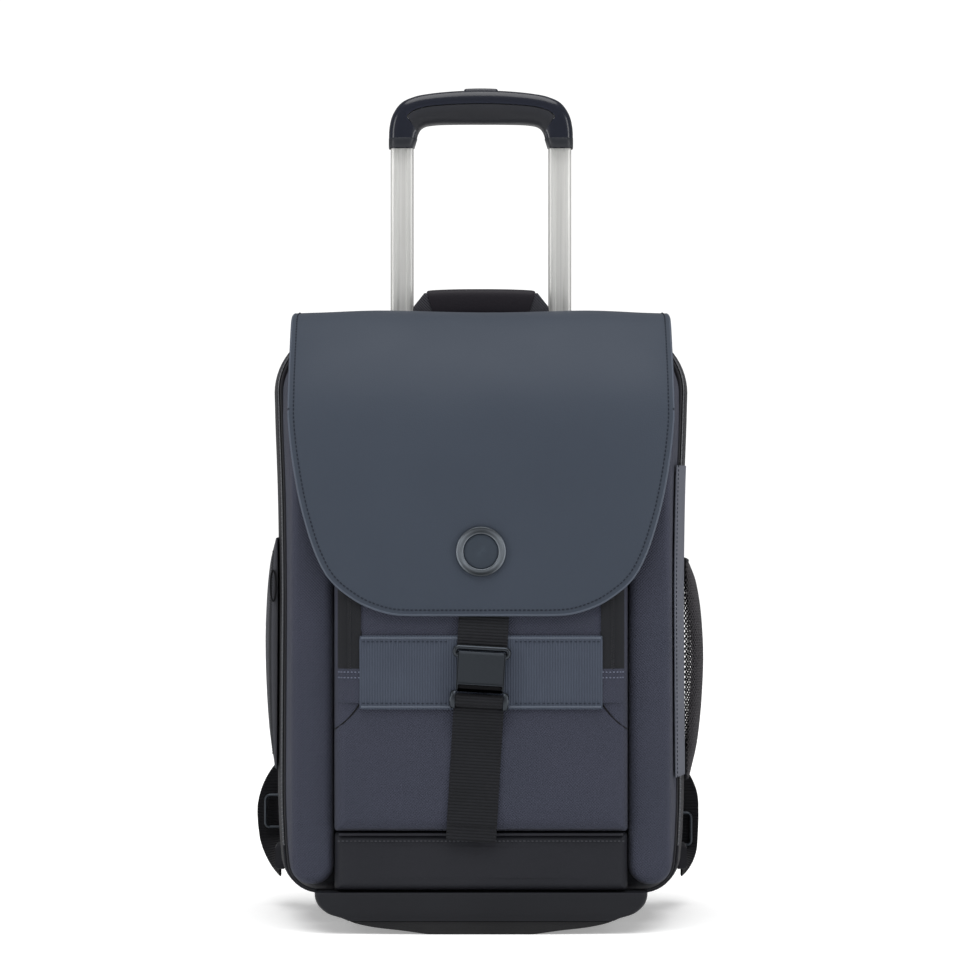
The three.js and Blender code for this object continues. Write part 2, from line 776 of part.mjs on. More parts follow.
function gripShape() {
  const half = gripWidth / 2;
  const right = gripProfile.map((row) => (
    new THREE.Vector2(row.across * half, gripBottom + row.up * gripHeight)));
  const left = right.slice(0, -1).toReversed().map((p) => new THREE.Vector2(-p.x, p.y));
  const shape = new THREE.Shape();
  shape.moveTo(right[0].x, right[0].y);
  shape.splineThru([...right.slice(1), ...left]);
  const leg = half - gripLegWidth;
  const under = gripTop - gripBar + insertHeight;
  const fillet = insertHeight + 6;
  shape.lineTo(-leg, gripBottom);
  shape.lineTo(-leg, under - fillet);
  shape.quadraticCurveTo(-leg, under, -leg + fillet, under);
  shape.lineTo(leg - fillet, under);
  shape.quadraticCurveTo(leg, under, leg, under - fillet);
  shape.lineTo(leg, gripBottom);
  return shape;
}

// One wall round the hand opening, with sockets for the tubes and a well for the button
function grip() {
  const bevel = 4;
  const arch = prismY(gripShape(), bevel - gripDepth / 2, gripDepth / 2 - bevel, {
    bevelEnabled: true, bevelThickness: bevel, bevelSize: bevel * 0.8, bevelOffset: -bevel * 0.8,
    bevelSegments: 2, curveSegments: 2,
  });
  const socket = (x) => prismZ(roundedShape(-upperTubeWidth / 2 - gap, upperTubeWidth / 2 + gap,
    -upperTubeDepth / 2 - gap, upperTubeDepth / 2 + gap, upperTubeDepth * 0.3), gripBottom - 1, tubeTop + gap)
    .translate([x, 0, 0]);
  const wellX = buttonWidth / 2 + gap;
  const wellY = buttonDepth / 2 + gap;
  const wellFloor = gripTop + buttonProud - buttonHeight - buttonTravel - gap;
  return arch.subtract(socket(-tubeX)).subtract(socket(tubeX))
    .subtract(block(-wellX, wellX, -wellY, wellY, wellFloor, farAway));
}

function gripInsert() {
  const half = gripWidth / 2 - gripLegWidth - gap;
  const top = gripTop - gripBar + insertHeight - gap;
  const fillet = insertHeight + 6;
  const shape = new THREE.Shape();
  shape.moveTo(fillet - half, top);
  shape.quadraticCurveTo(-half, top, -half, top - fillet);
  shape.lineTo(insertHeight / 2 - half, top - fillet);
  const inside = half - insertHeight / 2;
  const under = top - insertHeight;
  shape.quadraticCurveTo(-inside, under, fillet - inside, under);
  shape.lineTo(inside - fillet, under);
  shape.quadraticCurveTo(inside, under, inside, top - fillet);
  shape.lineTo(half, top - fillet);
  shape.quadraticCurveTo(half, top, half - fillet, top);
  return prismY(shape, -insertDepth / 2, insertDepth / 2, { curveSegments: 2 });
}

function releaseButton() {
  const shape = roundedShape(-buttonWidth / 2, buttonWidth / 2, -buttonDepth / 2, buttonDepth / 2, 2);
  const top = gripTop + buttonProud;
  return prismZ(shape, top - buttonHeight, top);
}

// Back panel: a tray over the tubes, with a wall all round and holes for the tubes at its top
function backPanel() {
  const outerRing = (inset, y) => bodyRing(backPanelInset + inset, 1).map((p) => vec(p.x, y, p.z));
  const shell = loft([outerRing(0, backPanelFront), outerRing(0.5, backPanelBack - 12),
    outerRing(3.5, backPanelBack - 4), outerRing(9, backPanelBack)]);
  const hollow = loft([outerRing(backPanelWall, backPanelFront - 1),
    outerRing(12, backPanelBack - backPanelWall)]);
  const hole = (x) => block(x - outerTubeWidth / 2 - gap, x + outerTubeWidth / 2 + gap,
    trolleyY - outerTubeDepth / 2 - gap, trolleyY + outerTubeDepth / 2 + gap, bodyTop / 2, farAway);
  return shell.subtract(hollow).subtract(hole(-tubeX)).subtract(hole(tubeX))
    .subtract(housingEnvelope(-1, gap)).subtract(housingEnvelope(1, gap));
}

function backPad(side) {
  const inner = backPadGap / 2;
  const outer = inner + backPadWidth;
  const edges = { z0: backPadBottom, z1: backPadBottom + backPadHeight };
  const [x0, x1] = side > 0 ? [inner, outer] : [-outer, -inner];
  return pad({ x0, x1, ...edges }, [16, 16, 16, 16], backPanelBack + gap, -backPadDepth, 6);
}

// Outer face and top of the sewn tab that holds the webbing's end
const tabFace = bodyHalf * bodyWaist[0].width + gap + tabThickness;
const tabTopZ = bodyRaise + bodyBottomRound + 2;

// Shoulder strap route: across as a share of the body's half width, up of its height, out of its thickness
const shoulderRoute = [
  { across: 0.27, up: 0.955, out: 0.58 },
  { across: 0.29, up: 0.9, out: 1 },
  { across: 0.36, up: 0.765, out: 1.8 },
  { across: 0.45, up: 0.59, out: 2 },
  { across: 0.54, up: 0.44, out: 1.7 },
  { across: 0.6, up: 0.33, out: 1.2 },
];

function shoulderPoint(side, row) {
  return vec(side * row.across * bodyHalf, backPanelBack + gap + row.out * shoulderThickness,
    bodyRaise + row.up * bodyHeight);
}

function shoulderStrap(side) {
  const route = shoulderRoute.map((row) => shoulderPoint(side, row));
  return ribbon(route, 14, () => vec(1, 0, 0), shoulderWidth, shoulderThickness, paddedSection);
}

// Loose webbing from the shoulder strap's end round to the tab at the bottom corner. Each point is a share of
// the way from the strap's end to the tab's face, across, forward and down, chosen by hand for each side.
const webRoutes = {
  left: [[0.014, 0.009, 0.027], [0.073, 0.019, 0.127], [0.268, 0.047, 0.251], [0.561, 0.084, 0.359],
    [0.827, 0.112, 0.444], [1.008, 0.121, 0.567], [1.106, 0.107, 0.699], [1.12, 0.103, 0.807],
    [1.092, 0.112, 0.907], [1.064, 0.383, 0.977], [1.059, 0.72, 1.023], [1.039, 0.981, 1.054]],
  right: [[0.014, 0.009, 0.027], [0.073, 0.019, 0.127], [0.254, 0.047, 0.251], [0.52, 0.084, 0.351],
    [0.757, 0.112, 0.428], [0.897, 0.121, 0.521], [0.987, 0.114, 0.637], [1.022, 0.107, 0.761],
    [1.036, 0.103, 0.876], [1.043, 0.107, 0.992], [1.059, 0.477, 1.046], [1.02, 1.0, 1.085]],
};
const sliderPlaces = { left: [0.953, 0.204, 0.741], right: [0.891, 0.169, 0.861] };

function webPoint(sign, [across, forward, down]) {
  const from = shoulderPoint(1, shoulderRoute.at(-1));
  const to = vec(tabFace, tabY, tabTopZ - tabLength / 2);
  return vec(sign * lerp(from.x, to.x, across), lerp(from.y, to.y, forward), lerp(from.z, to.z, down));
}

// The webbing faces the back as it hangs beside the bag, then turns its face to the side at the tab
function strapWeb(name, sign) {
  const route = webRoutes[name].map((row) => webPoint(sign, row));
  const flat = vec(sign, 0, 0.5);
  const turned = vec(0, -1, 0.12);
  return ribbon(route, 20, (t) => {
    const share = THREE.MathUtils.smoothstep(t, 0.79, 0.93);
    return flat.clone().lerp(turned, share);
  }, webWidth, webThickness);
}

// Middle of a slider that lies against the front face of its webbing
const sliderPlace = (name, sign) => webPoint(sign, sliderPlaces[name]).toArray();

function strapSlider() {
  const shape = roundedShape(-sliderWidth / 2, sliderWidth / 2, -sliderHeight / 2, sliderHeight / 2, 3);
  const reach = sliderWidth / 2 - sliderBar;
  const slot = (z0, z1) => roundedShape(-reach, reach, z0, z1, 1);
  shape.holes.push(slot(sliderBar / 2, sliderHeight / 2 - sliderBar));
  shape.holes.push(slot(sliderBar - sliderHeight / 2, -sliderBar / 2));
  return prismY(shape, -sliderThickness / 2, sliderThickness / 2, { curveSegments: 2 });
}

// Small sewn anchor where the webbing ends, on the body's lower corner
function strapTab(side) {
  const inner = tabFace - tabThickness;
  const [x0, x1] = side > 0 ? [inner, tabFace] : [-tabFace, -inner];
  return block(x0, x1, tabY - tabWidth / 2, tabY + tabWidth / 2, tabTopZ - tabLength, tabTopZ);
}

// Carry handle: a padded grip over the seam, with a webbing end on each side
function carryPad() {
  const middle = bodyTop + carryRise;
  const half = carryWidth / 2;
  const route = [[-1, 5], [-0.7, 0], [0, -0.6], [0.7, 0], [1, 5]]
    .map(([across, dip]) => vec(across * half, carryY, middle - dip));
  const oval = new THREE.EllipseCurve(0, 0, carryPadDepth / 2, carryPadHeight / 2);
  const section = oval.getPoints(12).slice(0, -1);
  const curve = new THREE.CatmullRomCurve3(route);
  const rings = [];
  for (let step = 0; step <= 8; step += 1) {
    const centre = curve.getPointAt(step / 8);
    rings.push(section.map((p) => vec(centre.x, centre.y + p.x, centre.z + p.y)));
  }
  return loft(rings);
}

function carryWeb(side) {
  const start = (carryWidth + carryWebThickness) / 2 + 2 * gap;
  const route = [vec(side * start, carryY, bodyTop + carryRise - 6),
    vec(side * (start + 2), carryY, bodyTop + carryRise * 0.5),
    vec(side * (start + 6), carryY, bodyTop + 2.5 * gap)];
  return ribbon(route, 6, () => vec(0, 1, 0), carryPadDepth - 1, carryWebThickness);
}

// Plan bulge of a side pocket at shares of its height
const pocketSwell = [
  { up: 0, out: 0.16 },
  { up: 0.04, out: 0.3 },
  { up: 0.17, out: 0.66 },
  { up: 0.36, out: 0.9 },
  { up: 0.56, out: 1 },
  { up: 0.79, out: 0.84 },
  { up: 0.92, out: 0.64 },
  { up: 1, out: 0.5 },
];

const sidePocketMiddle = bandBackY + gap + sidePocketDepth / 2 + sidePocketSetBack;

// A bulging sheet on the body's side, open towards the body, with the top open or closed
function sidePocket(side, bottom, height, bulge, closed) {
  const ring = (row, wall) => {
    const z = bottom + row.up * height;
    const base = bodyHalfAt(z) + gap;
    const half = sidePocketDepth / 2 - wall;
    const out = bulge * row.out - wall;
    const arc = [];
    for (let i = 0; i <= 9; i += 1) {
      const angle = turn(180 - i * 20);
      const swell = Math.max(out, 0.4) * Math.abs(Math.sin(angle)) ** 0.7;
      arc.push(vec(side * (base + swell), sidePocketMiddle + half * Math.cos(angle), z));
    }
    const inner = wall > 0 ? base - 1 : base;
    return [vec(side * inner, sidePocketMiddle - half, z), ...arc.slice(1, -1),
      vec(side * inner, sidePocketMiddle + half, z)];
  };
  const outer = loft(pocketSwell.map((row) => ring(row, 0)));
  const rows = pocketSwell.map((row) => ({ ...row }));
  rows[0].up = sidePocketWall / height;
  rows.at(-1).up = closed ? 1 - sidePocketWall / height : 1.01;
  return outer.subtract(loft(rows.map((row) => ring(row, sidePocketWall))));
}

function zipPuller() {
  const z = zipPocketBottom + zipPocketHeight * 0.72;
  const x = -Math.max(bodyHalfAt(z), bodyHalfAt(z + pullerLength)) - gap;
  const y = sidePocketMiddle - sidePocketDepth / 2 - gap;
  return block(x - pullerWidth, x, y - pullerThickness, y, z, z + pullerLength);
}

// Foot outline from the front, right half, as shares of its half width and height
const footOutline = [
  { across: 1, up: 1 },
  { across: 0.985, up: 0.72 },
  { across: 0.92, up: 0.48 },
  { across: 0.815, up: 0.33 },
  { across: 0.775, up: 0.27 },
  { across: 0.665, up: 0.17 },
  { across: 0.49, up: 0.085 },
];

function footRing(inset, y) {
  const half = footWidth / 2 - inset;
  const low = Math.min(inset, footRound);
  const rise = footHeight - low - inset * 0.3;
  const right = footOutline.map((row) => [row.across * half, low + row.up * rise]);
  right.push([footFlat / 2, low]);
  const outline = [...right.toReversed(), ...right.map(([x, z]) => [-x, z])];
  return outline.map(([x, z]) => vec(x, y, z));
}

function foot() {
  const front = bodyFront - footProud;
  const back = front + footDepth;
  const sections = [[footRound, 0], [footRound * 0.35, footRound * 0.3], [0, footRound]];
  const rings = sections.map(([inset, step]) => footRing(inset, front + step));
  rings.push(footRing(0, back - footRound), footRing(footRound * 0.5, back));
  return loft(rings).subtract(block(-farAway, farAway, bodyFront - gap, farAway, bodyRaise - gap, farAway));
}

// Open fender round a wheel with its axle across it, modelled about the wheel's centre
function wheelHousing() {
  const inside = new THREE.Shape();
  inside.absarc(0, 0, wheelRadius + housingRoom, 0, Math.PI * 2);
  const half = housingWidth / 2;
  const room = prismX(inside, housingWall - half, half - housingWall);
  const open = block(housingWall - half, half - housingWall, 0, farAway, -farAway, 6);
  const axle = solid(new THREE.CylinderGeometry(axleRadius, axleRadius, housingWidth - housingWall, 12)
    .rotateZ(Math.PI / 2));
  return housingEnvelope(0, 0).translate([0, -wheelY, -wheelRadius]).subtract(room).subtract(open).add(axle);
}

function lathedX(points) {
  const profile = points.map(([radius, along]) => new THREE.Vector2(radius, along));
  return solid(new THREE.LatheGeometry(profile, 18).rotateZ(-Math.PI / 2));
}

function tyre() {
  const [rim, half] = [wheelRadius - tyreThickness, wheelWidth / 2];
  const shoulder = wheelRadius - 2.5;
  const tread = half * 0.6;
  return lathedX([[rim, -half], [shoulder, -half], [wheelRadius, -tread], [wheelRadius, tread],
    [shoulder, half], [rim, half], [rim, -half]]);
}

function hub() {
  const rim = wheelRadius - tyreThickness - gap;
  const bore = axleRadius + gap;
  const half = wheelWidth / 2;
  const boss = half + 5;
  const web = half * 0.4;
  const sleeve = bore + 4;
  return lathedX([[bore, -boss], [sleeve, -boss], [sleeve, -web], [rim - 4, -web], [rim - 3, -half],
    [rim, -half], [rim, half], [rim - 3, half], [rim - 4, web], [sleeve, web], [sleeve, boss], [bore, boss],
    [bore, -boss]]);
}

// Assembly
const bag = new THREE.Group();
bag.name = 'wheeled_backpack';

function group(parent, x, y, z) {
  const made = new THREE.Group();
  made.position.set(x, y, z);
  parent.add(made);
  return made;
}

function piece(parent, name, shape, finish, x = 0, y = 0, z = 0) {
  const mesh = shape.getMesh();
  const geometry = new THREE.BufferGeometry();
  geometry.setAttribute('position', new THREE.Float32BufferAttribute(mesh.vertProperties, 3));
  geometry.setIndex([...mesh.triVerts]);
  geometry.computeVertexNormals();
  const made = new THREE.Mesh(geometry, finishes[finish]);
  made.name = name;
  made.position.set(x, y, z);
  parent.add(made);
}

piece(bag, 'front_shell', frontShell(), 'navyCloth');
piece(bag, 'zip_band', zipBand(), 'blackCloth');
piece(bag, 'rear_shell', rearShell(), 'blackCloth');
piece(bag, 'back_panel', backPanel(), 'blackCloth');
piece(bag, 'bottom_panel', bottomPanel(), 'blackCloth');
piece(bag, 'front_pocket', frontPocket(), 'navyCloth');
piece(bag, 'pocket_band', pocketBand(), 'slateCloth');
piece(bag, 'flap', flap(), 'flapHide');
piece(bag, 'zip_chain', zipChain(), 'webbing');
piece(bag, 'storm_flap', stormFlap(), 'slateCloth');
const meshPocket = sidePocket(1, meshPocketBottom, meshPocketHeight, meshPocketBulge, false);
piece(bag, 'mesh_pocket', meshPocket, 'netting');
const zipPocket = sidePocket(-1, zipPocketBottom, zipPocketHeight, zipPocketBulge, true);
piece(bag, 'zip_pocket', zipPocket, 'navyCloth');
piece(bag, 'pocket_zip_puller', zipPuller(), 'webbing');
piece(bag, 'carry_handle_pad', carryPad(), 'padding');
piece(bag, 'foot', foot(), 'blackPlastic');

const badgeZ = flapHem + badgeHeight;
const badge = group(bag, 0, 0, badgeZ);
const badgeFace = Math.min(flapFaceAt(badgeZ - badgeRadius), flapFaceAt(badgeZ)) - gap;
piece(badge, 'badge_ring', ringOf(badgeRadius, badgeHole, badgeThickness), 'steel', 0, badgeFace);
piece(badge, 'badge_inset', disc(badgeHole - gap, 1), 'flapHide', 0, badgeFace - 0.5);

const closure = group(bag, 0, 0, strapPivot);
closure.rotation.y = turn(strapTilt);
const strapGroup = group(closure, 0, 0, -strapPivot);
const ringFace = strapFace - strapThickness - gap;
piece(strapGroup, 'closure_strap_upper', upperStrap(), 'webbing');
const ringBack = ringFace - ringWire;
const plateBack = ringBack - gap - plateThickness + plateBevel;
piece(strapGroup, 'closure_ring', closureRing(), 'steel', 0, ringBack, ringCentre);
piece(strapGroup, 'buckle_plate', bucklePlate(), 'darkSteel', 0, plateBack, plateTop - plateHeight / 2);
const rollBack = strapFace - rollDepth + rollBevel;
piece(strapGroup, 'buckle_roll', buckleRoll(), 'webbing', 0, rollBack, rollTop - rollHeight / 2);
piece(strapGroup, 'closure_strap_lower', lowerStrap(), 'webbing');

const lowerStage = group(bag, 0, trolleyY, 0);
const upperStage = group(lowerStage, 0, 0, 0);
const sides = [{ name: 'left', sign: -1 }, { name: 'right', sign: 1 }];
for (const { name, sign } of sides) {
  piece(bag, `side_column_${name}`, sideColumn(sign), 'navyCloth');
  piece(bag, `zip_tape_${name}`, zipTape(sign), 'blackCloth');
  piece(bag, `pocket_tab_${name}`, pocketTab(sign), 'navyCloth');
  piece(bag, `back_pad_${name}`, backPad(sign), 'padding');
  piece(bag, `shoulder_strap_${name}`, shoulderStrap(sign), 'padding');
  piece(bag, `strap_web_${name}`, strapWeb(name, sign), 'webbing');
  piece(bag, `strap_slider_${name}`, strapSlider(), 'mattePlastic', ...sliderPlace(name, sign));
  piece(bag, `strap_tab_${name}`, strapTab(sign), 'webbing');
  piece(bag, `carry_web_${name}`, carryWeb(sign), 'webbing');
  piece(bag, `tube_outer_${name}`, outerTube(), 'aluminium', sign * tubeX, trolleyY);
  piece(bag, `tube_collar_${name}`, tubeCollar(), 'mattePlastic', sign * tubeX, trolleyY);
  piece(lowerStage, `tube_lower_${name}`, lowerTube(), 'aluminium', sign * tubeX);
  piece(upperStage, `tube_upper_${name}`, upperTube(), 'aluminium', sign * tubeX);
  const wheel = group(bag, (sign * wheelSpacing) / 2, wheelY, wheelRadius);
  piece(wheel, `wheel_housing_${name}`, wheelHousing(), 'mattePlastic');
  piece(wheel, `tyre_${name}`, tyre(), 'rubber');
  piece(wheel, `hub_${name}`, hub(), 'mattePlastic');
}
piece(bag, 'trolley_base', trolleyBase(), 'mattePlastic');
piece(upperStage, 'grip', grip(), 'gripPlastic');
piece(upperStage, 'grip_insert', gripInsert(), 'mattePlastic');
piece(upperStage, 'release_button', releaseButton(), 'gripPlastic');

export default bag;
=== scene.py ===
# %% [markdown]
# A wheeled backpack: a cloth bag on two wheels and a moulded foot, with a telescopic handle,
# a draped front flap, a buckled strap and padded shoulder straps on its back.
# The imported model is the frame. Its boxes say where each piece goes, in metres, with +Z up.

# %% Load the frame
import math

import bmesh
import bpy
import numpy as np
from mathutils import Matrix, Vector, noise


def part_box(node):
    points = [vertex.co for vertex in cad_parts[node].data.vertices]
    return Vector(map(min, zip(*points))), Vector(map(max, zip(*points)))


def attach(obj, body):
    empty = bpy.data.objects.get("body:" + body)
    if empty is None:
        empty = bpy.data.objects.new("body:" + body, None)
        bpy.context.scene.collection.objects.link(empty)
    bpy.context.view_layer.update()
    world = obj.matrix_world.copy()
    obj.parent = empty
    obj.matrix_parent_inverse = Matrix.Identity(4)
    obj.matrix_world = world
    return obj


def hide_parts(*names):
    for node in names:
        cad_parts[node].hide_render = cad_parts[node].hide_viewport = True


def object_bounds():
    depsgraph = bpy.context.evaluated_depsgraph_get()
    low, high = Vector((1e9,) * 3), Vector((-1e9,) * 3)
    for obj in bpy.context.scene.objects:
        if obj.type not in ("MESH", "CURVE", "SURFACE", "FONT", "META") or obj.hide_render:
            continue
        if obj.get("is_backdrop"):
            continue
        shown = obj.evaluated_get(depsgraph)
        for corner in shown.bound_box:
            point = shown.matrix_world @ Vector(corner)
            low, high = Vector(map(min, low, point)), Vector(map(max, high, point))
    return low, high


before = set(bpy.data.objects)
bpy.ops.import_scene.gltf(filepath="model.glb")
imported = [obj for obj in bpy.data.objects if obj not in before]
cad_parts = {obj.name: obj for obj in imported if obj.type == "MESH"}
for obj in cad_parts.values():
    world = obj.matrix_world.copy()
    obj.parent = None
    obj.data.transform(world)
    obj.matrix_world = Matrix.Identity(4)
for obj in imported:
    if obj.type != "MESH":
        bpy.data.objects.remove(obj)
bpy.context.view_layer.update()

# %% [markdown]
# The photograph is taken level, from straight in front, with a long lens. At 3 m a 136 mm lens shows
# 0.825 mm of the bag in each of the 960 pixels, so upright edges stay upright.

# %% Camera
CAMERA_PLACE = (-0.0008, -3.0, 0.361)
CAMERA_LENS = 136.4
camera_data = bpy.data.cameras.new("camera")
camera_data.sensor_width = 36
camera_data.lens = CAMERA_LENS
camera = bpy.data.objects.new("camera", camera_data)
camera.location = CAMERA_PLACE
camera.rotation_euler = (math.radians(90), 0, 0)
bpy.context.scene.collection.objects.link(camera)
bpy.context.scene.camera = camera

# %% [markdown]
# A product studio: a white sweep, a very soft light from above and a tall soft box on each side.
# The background stays white to the camera, while the light that it gives the bag is held back,
# so that dark cloth keeps its depth.

# %% Floor and lights
FLOOR_SIZE = 12.0
SKY_GLOW = 0.25
FLOOR_GLOW = 0.3
scene = bpy.context.scene
scene.view_settings.view_transform = "Standard"
world = bpy.data.worlds.new("studio")
scene.world = world
world.use_nodes = True
sky = world.node_tree
background = sky.nodes["Background"]
background.inputs["Color"].default_value = (1, 1, 1, 1)
ray = sky.nodes.new("ShaderNodeLightPath")
glow = sky.nodes.new("ShaderNodeMapRange")
glow.inputs["To Min"].default_value = SKY_GLOW
glow.inputs["To Max"].default_value = 1.1
sky.links.new(ray.outputs["Is Camera Ray"], glow.inputs["Value"])
sky.links.new(glow.outputs["Result"], background.inputs["Strength"])


def lamp(name, kind, place, target, energy, size, height=None):
    """A soft light that looks from its place towards a target."""
    data = bpy.data.lights.new(name, kind)
    data.energy = energy
    if kind == "SUN":
        data.angle = size
    else:
        data.shape = "RECTANGLE"
        data.size = size
        data.size_y = height or size
    made = bpy.data.objects.new(name, data)
    made.location = place
    made.rotation_euler = (Vector(target) - Vector(place)).to_track_quat("-Z", "Y").to_euler()
    scene.collection.objects.link(made)
    return made


lamp("overhead", "SUN", (0, -0.9, 3), (0, 0, 0), 2.6, math.radians(60))
lamp("left_box", "AREA", (-1.7, -1.1, 0.7), (0, 0, 0.35), 11, 0.5, 1.6)
lamp("right_box", "AREA", (1.7, -1.1, 0.7), (0, 0, 0.35), 11, 0.5, 1.6)

# %% [markdown]
# Every finish is a Principled shader. What the finishes share, such as weave, ribs, grain and
# slow changes of tone, are node groups with named inputs, built once here.


# %% Node helpers
def ink(red, green, blue):
    """A colour seen in the photograph, 0 to 255, as the linear colour that a shader takes."""
    shares = [c / 255 for c in (red, green, blue)]
    return tuple(c / 12.92 if c <= 0.04045 else ((c + 0.055) / 1.055) ** 2.4 for c in shares) + (1,)


def node(tree, kind, inputs=None, **settings):
    """Adds a node. An input is a number, a colour, or another node's output to link."""
    made = tree.nodes.new(kind)
    for key, value in settings.items():
        setattr(made, key, value)
    for key, value in (inputs or {}).items():
        if isinstance(value, bpy.types.NodeSocket):
            tree.links.new(value, made.inputs[key])
        else:
            made.inputs[key].default_value = value
    return made


def node_group(name, inputs, outputs):
    """An empty group: its tree, the sockets of its inputs, and its output node."""
    tree = bpy.data.node_groups.new(name, "ShaderNodeTree")
    for label, kind, value in inputs:
        tree.interface.new_socket(label, in_out="INPUT", socket_type=kind).default_value = value
    for label, kind in outputs:
        tree.interface.new_socket(label, in_out="OUTPUT", socket_type=kind)
    return tree, tree.nodes.new("NodeGroupInput").outputs, tree.nodes.new("NodeGroupOutput")


def arithmetic(tree, operation, first, second=0.0):
    return node(tree, "ShaderNodeMath", {0: first, 1: second}, operation=operation).outputs[0]


def mixed(tree, share, first, second):
    """Two colours mixed by a share."""
    made = node(tree, "ShaderNodeMix", data_type="RGBA")
    for key, value in (("Factor", share), ("A", first), ("B", second)):
        socket = next(s for s in made.inputs if s.name == key and s.enabled)
        if isinstance(value, bpy.types.NodeSocket):
            tree.links.new(value, socket)
        else:
            socket.default_value = value
    return next(s for s in made.outputs if s.enabled)


FLOAT, COLOUR, VECTOR = "NodeSocketFloat", "NodeSocketColor", "NodeSocketVector"


# %% Shared effects
def build_weave():
    """Plain weave: threads pass over and under each other on whichever plane the surface faces."""
    tree, given, out = node_group("weave", [("Pitch", FLOAT, 0.0008)], [("Height", FLOAT)])
    place = node(tree, "ShaderNodeTexCoord")
    waves = arithmetic(tree, "DIVIDE", math.pi, given["Pitch"])
    scaled = node(tree, "ShaderNodeVectorMath", {0: place.outputs["Object"], "Scale": waves},
                  operation="SCALE")
    sines = node(tree, "ShaderNodeVectorMath", {0: scaled.outputs[0]}, operation="SINE")
    parts = node(tree, "ShaderNodeSeparateXYZ", {0: sines.outputs[0]}).outputs
    first = node(tree, "ShaderNodeCombineXYZ", {0: parts[1], 1: parts[2], 2: parts[0]})
    second = node(tree, "ShaderNodeCombineXYZ", {0: parts[2], 1: parts[0], 2: parts[1]})
    crossing = node(tree, "ShaderNodeVectorMath", {0: first.outputs[0], 1: second.outputs[0]},
                    operation="MULTIPLY")
    facing = node(tree, "ShaderNodeVectorMath", {0: place.outputs["Normal"], 1: place.outputs["Normal"]},
                  operation="MULTIPLY")
    height = node(tree, "ShaderNodeVectorMath", {0: crossing.outputs[0], 1: facing.outputs[0]},
                  operation="DOT_PRODUCT")
    tree.links.new(height.outputs["Value"], out.inputs["Height"])
    return tree


def build_ribs():
    """Round ribs at one pitch along a direction, as on webbing and ribbed cloth."""
    tree, given, out = node_group("ribs", [("Pitch", FLOAT, 0.0024), ("Direction", VECTOR, (0, 0, 1))],
                                  [("Height", FLOAT)])
    place = node(tree, "ShaderNodeTexCoord")
    along = node(tree, "ShaderNodeVectorMath", {0: place.outputs["Object"], 1: given["Direction"]},
                 operation="DOT_PRODUCT").outputs["Value"]
    phase = arithmetic(tree, "MULTIPLY", arithmetic(tree, "DIVIDE", along, given["Pitch"]), math.pi)
    height = arithmetic(tree, "ABSOLUTE", arithmetic(tree, "SINE", phase))
    tree.links.new(height, out.inputs["Height"])
    return tree


def build_grain():
    """Fine pebbled grain of coated cloth or hide, and of moulded plastic at a smaller cell."""
    tree, given, out = node_group("grain", [("Cell", FLOAT, 0.001), ("Depth", FLOAT, 0.5)],
                                  [("Height", FLOAT)])
    place = node(tree, "ShaderNodeTexCoord").outputs["Object"]
    scale = arithmetic(tree, "DIVIDE", 1.0, given["Cell"])
    cells = node(tree, "ShaderNodeTexVoronoi", {"Vector": place, "Scale": scale})
    haze = node(tree, "ShaderNodeTexNoise", {"Vector": place, "Scale": scale, "Detail": 3.0})
    height = arithmetic(tree, "ADD", arithmetic(tree, "MULTIPLY", cells.outputs["Distance"], given["Depth"]),
                        haze.outputs[0])
    tree.links.new(height, out.inputs["Height"])
    return tree


def build_tone():
    """Slow cloudy change between two tones, with a finer speck in it."""
    tree, given, out = node_group(
        "tone", [("Colour", COLOUR, (1, 1, 1, 1)), ("Second", COLOUR, (1, 1, 1, 1)), ("Patch", FLOAT, 0.05),
                 ("Speck", FLOAT, 0.0012), ("Speck share", FLOAT, 0.3)],
                                  [("Colour", COLOUR), ("Mask", FLOAT)])
    place = node(tree, "ShaderNodeTexCoord").outputs["Object"]
    slow = node(tree, "ShaderNodeTexNoise", {
        "Vector": place, "Scale": arithmetic(tree, "DIVIDE", 1.0, given["Patch"]), "Detail": 2.0}).outputs[0]
    fine = node(tree, "ShaderNodeTexNoise", {
        "Vector": place, "Scale": arithmetic(tree, "DIVIDE", 1.0, given["Speck"]), "Detail": 1.0}).outputs[0]
    keep = arithmetic(tree, "SUBTRACT", 1.0, given["Speck share"])
    mask = arithmetic(tree, "ADD", arithmetic(tree, "MULTIPLY", slow, keep),
                      arithmetic(tree, "MULTIPLY", fine, given["Speck share"]))
    steep = node(tree, "ShaderNodeMapRange", {"Value": mask, "From Min": 0.3,
                                              "From Max": 0.7}).outputs["Result"]
    tree.links.new(mixed(tree, steep, given["Colour"], given["Second"]), out.inputs["Colour"])
    tree.links.new(steep, out.inputs["Mask"])
    return tree


def build_wear():
    """Rubbed edges: a mask that is high on convex corners."""
    tree, given, out = node_group("edge_wear", [("Start", FLOAT, 0.52), ("End", FLOAT, 0.6)],
                                  [("Mask", FLOAT)])
    sharp = node(tree, "ShaderNodeNewGeometry").outputs["Pointiness"]
    mask = node(tree, "ShaderNodeMapRange", {"Value": sharp, "From Min": given["Start"],
                                             "From Max": given["End"]})
    tree.links.new(mask.outputs["Result"], out.inputs["Mask"])
    return tree


WEAVE, RIBS, GRAIN, TONE, WEAR = build_weave(), build_ribs(), build_grain(), build_tone(), build_wear()
print("effects:", ", ".join(g.name for g in bpy.data.node_groups))

# %% [markdown]
# One function sets up the shader that all finishes start from. Constant values, such as sheen and
# coat, go straight on the shader's sockets. Each finish then adds its own pattern.


